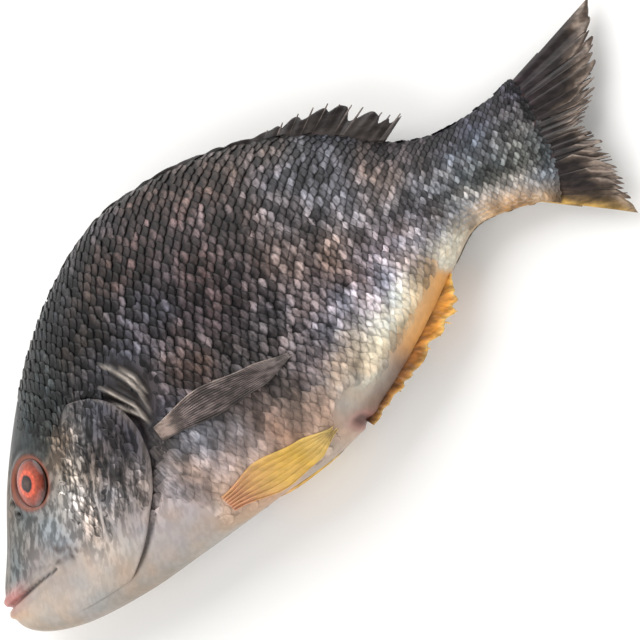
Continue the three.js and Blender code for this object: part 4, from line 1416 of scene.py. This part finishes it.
# %% Dorsal and anal fins
DORSAL_SHAPE = outline([(0, 0.05), (0.12, 0.1), (0.6, 0.14), (0.8, 1), (1, 0.95)])
DORSAL_RAYS = list(np.linspace(0.03, 0.6, 11)) + list(np.linspace(0.655, 0.985, 12))
dorsal = edge_fin(
    "dorsal_fin", which=1, begin=0.3, end=0.814, height=10.5, sweep=8.0, shape=DORSAL_SHAPE, ray_places=DORSAL_RAYS,
    rag=0.55, seed=5, web=DARK_WEB, bone=DARK_RAY, thick=1.5, radius=0.62, lean=0.5,
)
ANAL_SHAPE = outline([(0, 0.32), (0.45, 0.62), (0.7, 1), (1, 0.12)])
ANAL_RAYS = list(np.linspace(0.04, 0.2, 3)) + list(np.linspace(0.3, 0.95, 9))
anal = edge_fin(
    "anal_fin", which=-1, begin=0.59, end=0.81, height=8.0, sweep=3.0, shape=ANAL_SHAPE, ray_places=ANAL_RAYS,
    rag=0.4, seed=9, web=ANAL_WEB, bone=ANAL_WEB, thick=1.4, radius=0.55, lean=0.6,
)


# %% [markdown]
# ### Tail
# The tail is a fan of rays that fork halfway out, with a longer upper lobe, a lower lobe and a notch between them.
# A point of it is given by its place across the fan and its distance from the root.

# %% The tail's formula
TAIL_UPPER, TAIL_LOWER, TAIL_FORK = 53.0, 45.0, 21.0
tail_middle, _, _ = section(1.0)
tail_inside, tail_inner_reach, _ = section(1 - 8 / BODY_LENGTH)


def tail_point(u, v, left):
    """A point of the tail: u from the upper to the lower edge, v from the root to the free edge."""
    fan = 1 - 2 * u
    angle = TAIL_AXIS + TAIL_SPREAD * fan
    lobe = np.where(fan > 0, TAIL_UPPER, TAIL_LOWER)
    radius = (lobe - (lobe - TAIL_FORK) * (1 - np.abs(fan)) ** 0.7) * left
    root = tail_inside * (1, 1, 0) + tail_inner_reach * (fan * 0.86)[..., None]
    away = np.stack([np.cos(angle), np.sin(angle), np.zeros_like(angle)], -1) * radius[..., None]
    edge = tail_middle * (1, 1, 0) + away
    point = root + (edge - root) * v[..., None]
    wave = 0.5 * np.sin(fan * 9 + 1) * v**2 + 0.25 * np.sin(u * 105) * v
    point[..., 2] = tail_middle[2] - 3.0 * (radius / lobe) * v + wave
    return point


print("fork of the tail, mm from its root:", TAIL_FORK)

# %% Tail membrane
TAIL_RAYS = np.concatenate([np.linspace(0.0, 0.46, 9), np.linspace(0.54, 1.0, 9)])
tail_splits = (TAIL_RAYS[1:] + TAIL_RAYS[:-1]) / 2
u, v = np.meshgrid(np.linspace(0, 1, 620), np.linspace(0, 1, 26), indexing="ij")
rng = np.random.default_rng(17)
fine_splits = np.sort(np.concatenate([tail_splits, TAIL_RAYS[1:-1] + rng.normal(0, 0.006, len(TAIL_RAYS) - 2)]))
tail_left = ragged(u, fine_splits, 0.6, 17, 0.0062) * ragged(u, rng.uniform(0.06, 0.94, 60), 0.12, 3, 0.004)
tail_left *= ragged(u, np.array([0.17, 0.24, 0.31, 0.42, 0.6, 0.7, 0.8]), 0.42, 8, 0.013)
tail_left = 1 - (1 - tail_left) * rise(u, 0.02, 0.12) * (1 - rise(u, 0.93, 0.99))
centre_plane = tail_point(u, v, tail_left)
half = ((1.7 - 1.2 * v) / 2)[..., None] * np.array([0, 0, 1.0])
tail_membrane = closed_plate(
    "tail_fin_membrane", centre_plane + half, centre_plane - half, TAIL_WEB, {"fin_u": u, "fin_v": v}
)
report(tail_membrane)

# %% Tail rays, each forked halfway out
lines = []
for at in TAIL_RAYS:
    stem, branch = np.linspace(0, 0.5, 8), np.linspace(0.5, 0.97, 8)
    tall = rng.uniform(0.93, 1.03)
    lines.append((tail_point(np.full_like(stem, at), stem, 1.0 + 0 * stem), 0.85 - 0.6 * stem, at))
    for way in (-1, 1):
        fork = at + way * 0.009 * (branch - 0.5) / 0.47
        fork = np.clip(fork, 0, 1)
        lines.append((tail_point(fork, branch, tall + 0 * branch), 0.5 - 0.35 * branch, at))
tail_rays = rays("tail_fin_rays", lines, TAIL_RAY)

# %% [markdown]
# ### Paired fins
# The paired fins lie folded back against the flank. They follow the skin's own curve, so they are laid out in
# fish coordinates, a membrane with raised rays running from a narrow root to a pointed tip.

# %% Paired fins
PAIRED_SHAPE = outline([(0, 0.5), (0.35, 1), (0.7, 0.72), (1, 0.14)])


def paired_fin(name, side, at, up, dip, length, width, ray_count, seed, web):
    root, tip = at_share(at), at_share(at + length / BODY_LENGTH)
    rng = np.random.default_rng(seed)
    ray_places = np.linspace(0.04, 0.96, ray_count)

    def place(u, v, off):
        """u from root to tip, v from the lower to the upper edge."""
        half_width = PAIRED_SHAPE(u) * width / BODY_DEPTH
        t = root + (tip - root) * u
        height = up - dip * u + half_width * (2 * v - 1)
        sides = np.full_like(u, side)
        skin, out = flank(t, height, sides), outward(t, height, sides)
        z = skin[..., 2]
        pressed = np.maximum(0, off - z) if side < 0 else np.zeros_like(z)
        return skin + out * off[..., None] + pressed[..., None] * np.array([0, 0, 1.0])

    rows, columns = 90, 100
    u, v = np.meshgrid(np.linspace(0, 1, rows), np.linspace(0, 1, columns), indexing="ij")
    tear = rise(u, 0.7, 1.0) * 0.12 * np.abs(np.sin(v * ray_count * math.pi)) ** 0.5
    ridge = np.cos((v - 0.04) / 0.92 * (ray_count - 1) * 2 * math.pi)
    edge = np.minimum(1, np.minimum(v, 1 - v) / 0.04)
    outer = 0.75 + 0.14 * ridge * (1 - 0.5 * u) - 0.45 * (1 - edge) + 0.25 * np.sin(u * 6 + seed)
    upper = place(u * (1 - tear), v, outer)
    lower = place(u * (1 - tear), v, outer - 0.25 - 0.5 * edge * (1 - 0.6 * u))
    membrane = closed_plate(f"{name}_membrane", upper, lower, web, {"fin_u": v, "fin_v": u})
    report(membrane)
    lines = []
    for where in ray_places:
        reach = np.linspace(0, rng.uniform(0.93, 1.0), 14)
        spread = np.full_like(reach, where)
        level = 0.75 + 0.2 * (1 - 0.5 * reach) + 0.25 * np.sin(reach * 6 + seed)
        lines.append((place(reach, spread, level), 0.27 * (1.15 - 0.8 * reach), where))
    return membrane, rays(f"{name}_rays", lines, web)


paired = {}
for label, side in SIDES.items():
    paired[label + "_pectoral_fin"] = paired_fin(
        f"{label}_pectoral_fin", side, at=0.372, up=-0.33, dip=0.12, length=54, width=12, ray_count=14, seed=3,
        web=PECTORAL_WEB,
    )
    paired[label + "_pelvic_fin"] = paired_fin(
        f"{label}_pelvic_fin", side, at=0.385, up=-0.885, dip=0.03, length=44, width=11.5, ray_count=7, seed=4,
        web=PELVIC_WEB,
    )

# %% [markdown]
# ## Into the frame
# Every piece rides on the one body of the frame. The nodes of the
# frame that a piece stands in for are hidden, and still serve for collision.

# %% Ride and replace
def settle(piece, slot_name, node=None):
    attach(piece, "root")
    if node:
        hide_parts(node)


settle(skin_piece, "skin", "body")
for piece in scale_pieces.values():
    settle(piece, "skin")
for label in SIDES:
    settle(gill_pieces[label], "gill_cover", f"{label}_gill_cover")
    settle(gill_pieces[label + " scales"], "gill_cover")
    settle(eye_pieces[label], "eye", f"{label}_eye")
    for fin, slot_name in (("pectoral_fin", "pectoral_fin"), ("pelvic_fin", "yellow_fin")):
        membrane, rods = paired[f"{label}_{fin}"]
        settle(membrane, slot_name, f"{label}_{fin}")
        settle(rods, slot_name)
for (membrane, rods), slot_name, node in (
    (dorsal, "dark_fin", "dorsal_fin"), (anal, "yellow_fin", "anal_fin"),
    ((tail_membrane, tail_rays), "dark_fin", "tail_fin"),
):
    settle(membrane, slot_name, node)
    settle(rods, slot_name)

# %% [markdown]
# ## Studio
# A pale flat table, a bright soft sky and three large soft lamps, as over a light table. The camera looks
# down on the flank from a little to the side, with the fish running from the lower left to the upper right.

# %% Floor
TABLE_HALF = 4  # metres from the middle to an edge
FLOOR, tree = new_material("matt_white_table")
tree.nodes["Principled BSDF"].inputs["Base Color"].default_value = srgb("f4f3f1")
tree.nodes["Principled BSDF"].inputs["Roughness"].default_value = 0.9
mesh = bpy.data.meshes.new("table")
corners = [(x * TABLE_HALF, y * TABLE_HALF, 0) for x, y in ((-1, -1), (1, -1), (1, 1), (-1, 1))]
mesh.from_pydata(corners, [], [(0, 1, 2, 3)])
mesh.materials.append(FLOOR)
floor = bpy.data.objects.new("table", mesh)
bpy.context.scene.collection.objects.link(floor)
print("table", 2 * TABLE_HALF, "m wide")

# %% Sky, darker overhead so that the back stays deep
SKY_SIDES, SKY_TOP = 1.25, 0.15
world = bpy.data.worlds.new("studio")
bpy.context.scene.world = world
world.use_nodes = True
sky = world.node_tree
direction = add(sky, "ShaderNodeTexCoord", {"take": "Generated"})
height = add(sky, "ShaderNodeSeparateXYZ", {"take": "Z"}, direction)
strength = add(sky, SPAN, SMOOTHLY, height, 0.4, 0.97, SKY_SIDES, SKY_TOP)
sky.links.new(strength, sky.nodes["Background"].inputs["Strength"])
sky.nodes["Background"].inputs["Color"].default_value = (1, 1, 1, 1)
print("sky strength falls from", SKY_SIDES, "at the sides to", SKY_TOP, "overhead")


# %% Lamps, out of the mirror direction of the flank
def lamp(name, place, size, power):
    """A round soft lamp at place, aimed at the middle of the fish."""
    light = bpy.data.lights.new(name, "AREA")
    light.shape, light.size, light.energy = "DISK", size, power
    obj = bpy.data.objects.new(name, light)
    obj.location = place
    obj.rotation_euler = (mathutils.Vector((0, 0, 0.02)) - mathutils.Vector(place)).to_track_quat("-Z", "Y").to_euler()
    bpy.context.scene.collection.objects.link(obj)


lamp("key", (0.1, 1.15, 0.85), 1.8, 22)
lamp("fill", (-1.2, -0.5, 0.8), 1.8, 14)
lamp("rim", (1.1, -0.9, 0.5), 1.4, 4)

# %% Camera
TILT, TURN = math.radians(25), math.radians(39)
TARGET = np.array([0.0084, -0.0195, 0.018])
LENS, DISTANCE = 300, 1.7778
toward = np.array([math.sin(TILT) * math.cos(TURN), -math.sin(TILT) * math.sin(TURN), math.cos(TILT)])
right = np.array([math.cos(TILT) * math.cos(TURN), -math.cos(TILT) * math.sin(TURN), -math.sin(TILT)])
upward = np.cross(toward, right)
camera = bpy.data.objects.new("camera", bpy.data.cameras.new("camera"))
camera.data.lens = LENS
camera.data.sensor_width = 36
turned = mathutils.Matrix([list(row) for row in np.array([right, upward, toward]).T]).to_4x4()
turned.translation = mathutils.Vector(TARGET + toward * DISTANCE)
camera.matrix_world = turned
bpy.context.scene.collection.objects.link(camera)
bpy.context.scene.camera = camera
bpy.context.scene.view_settings.view_transform = "Standard"
print("camera tilted by", round(math.degrees(TILT)), "degrees, turned by", round(math.degrees(TURN)))
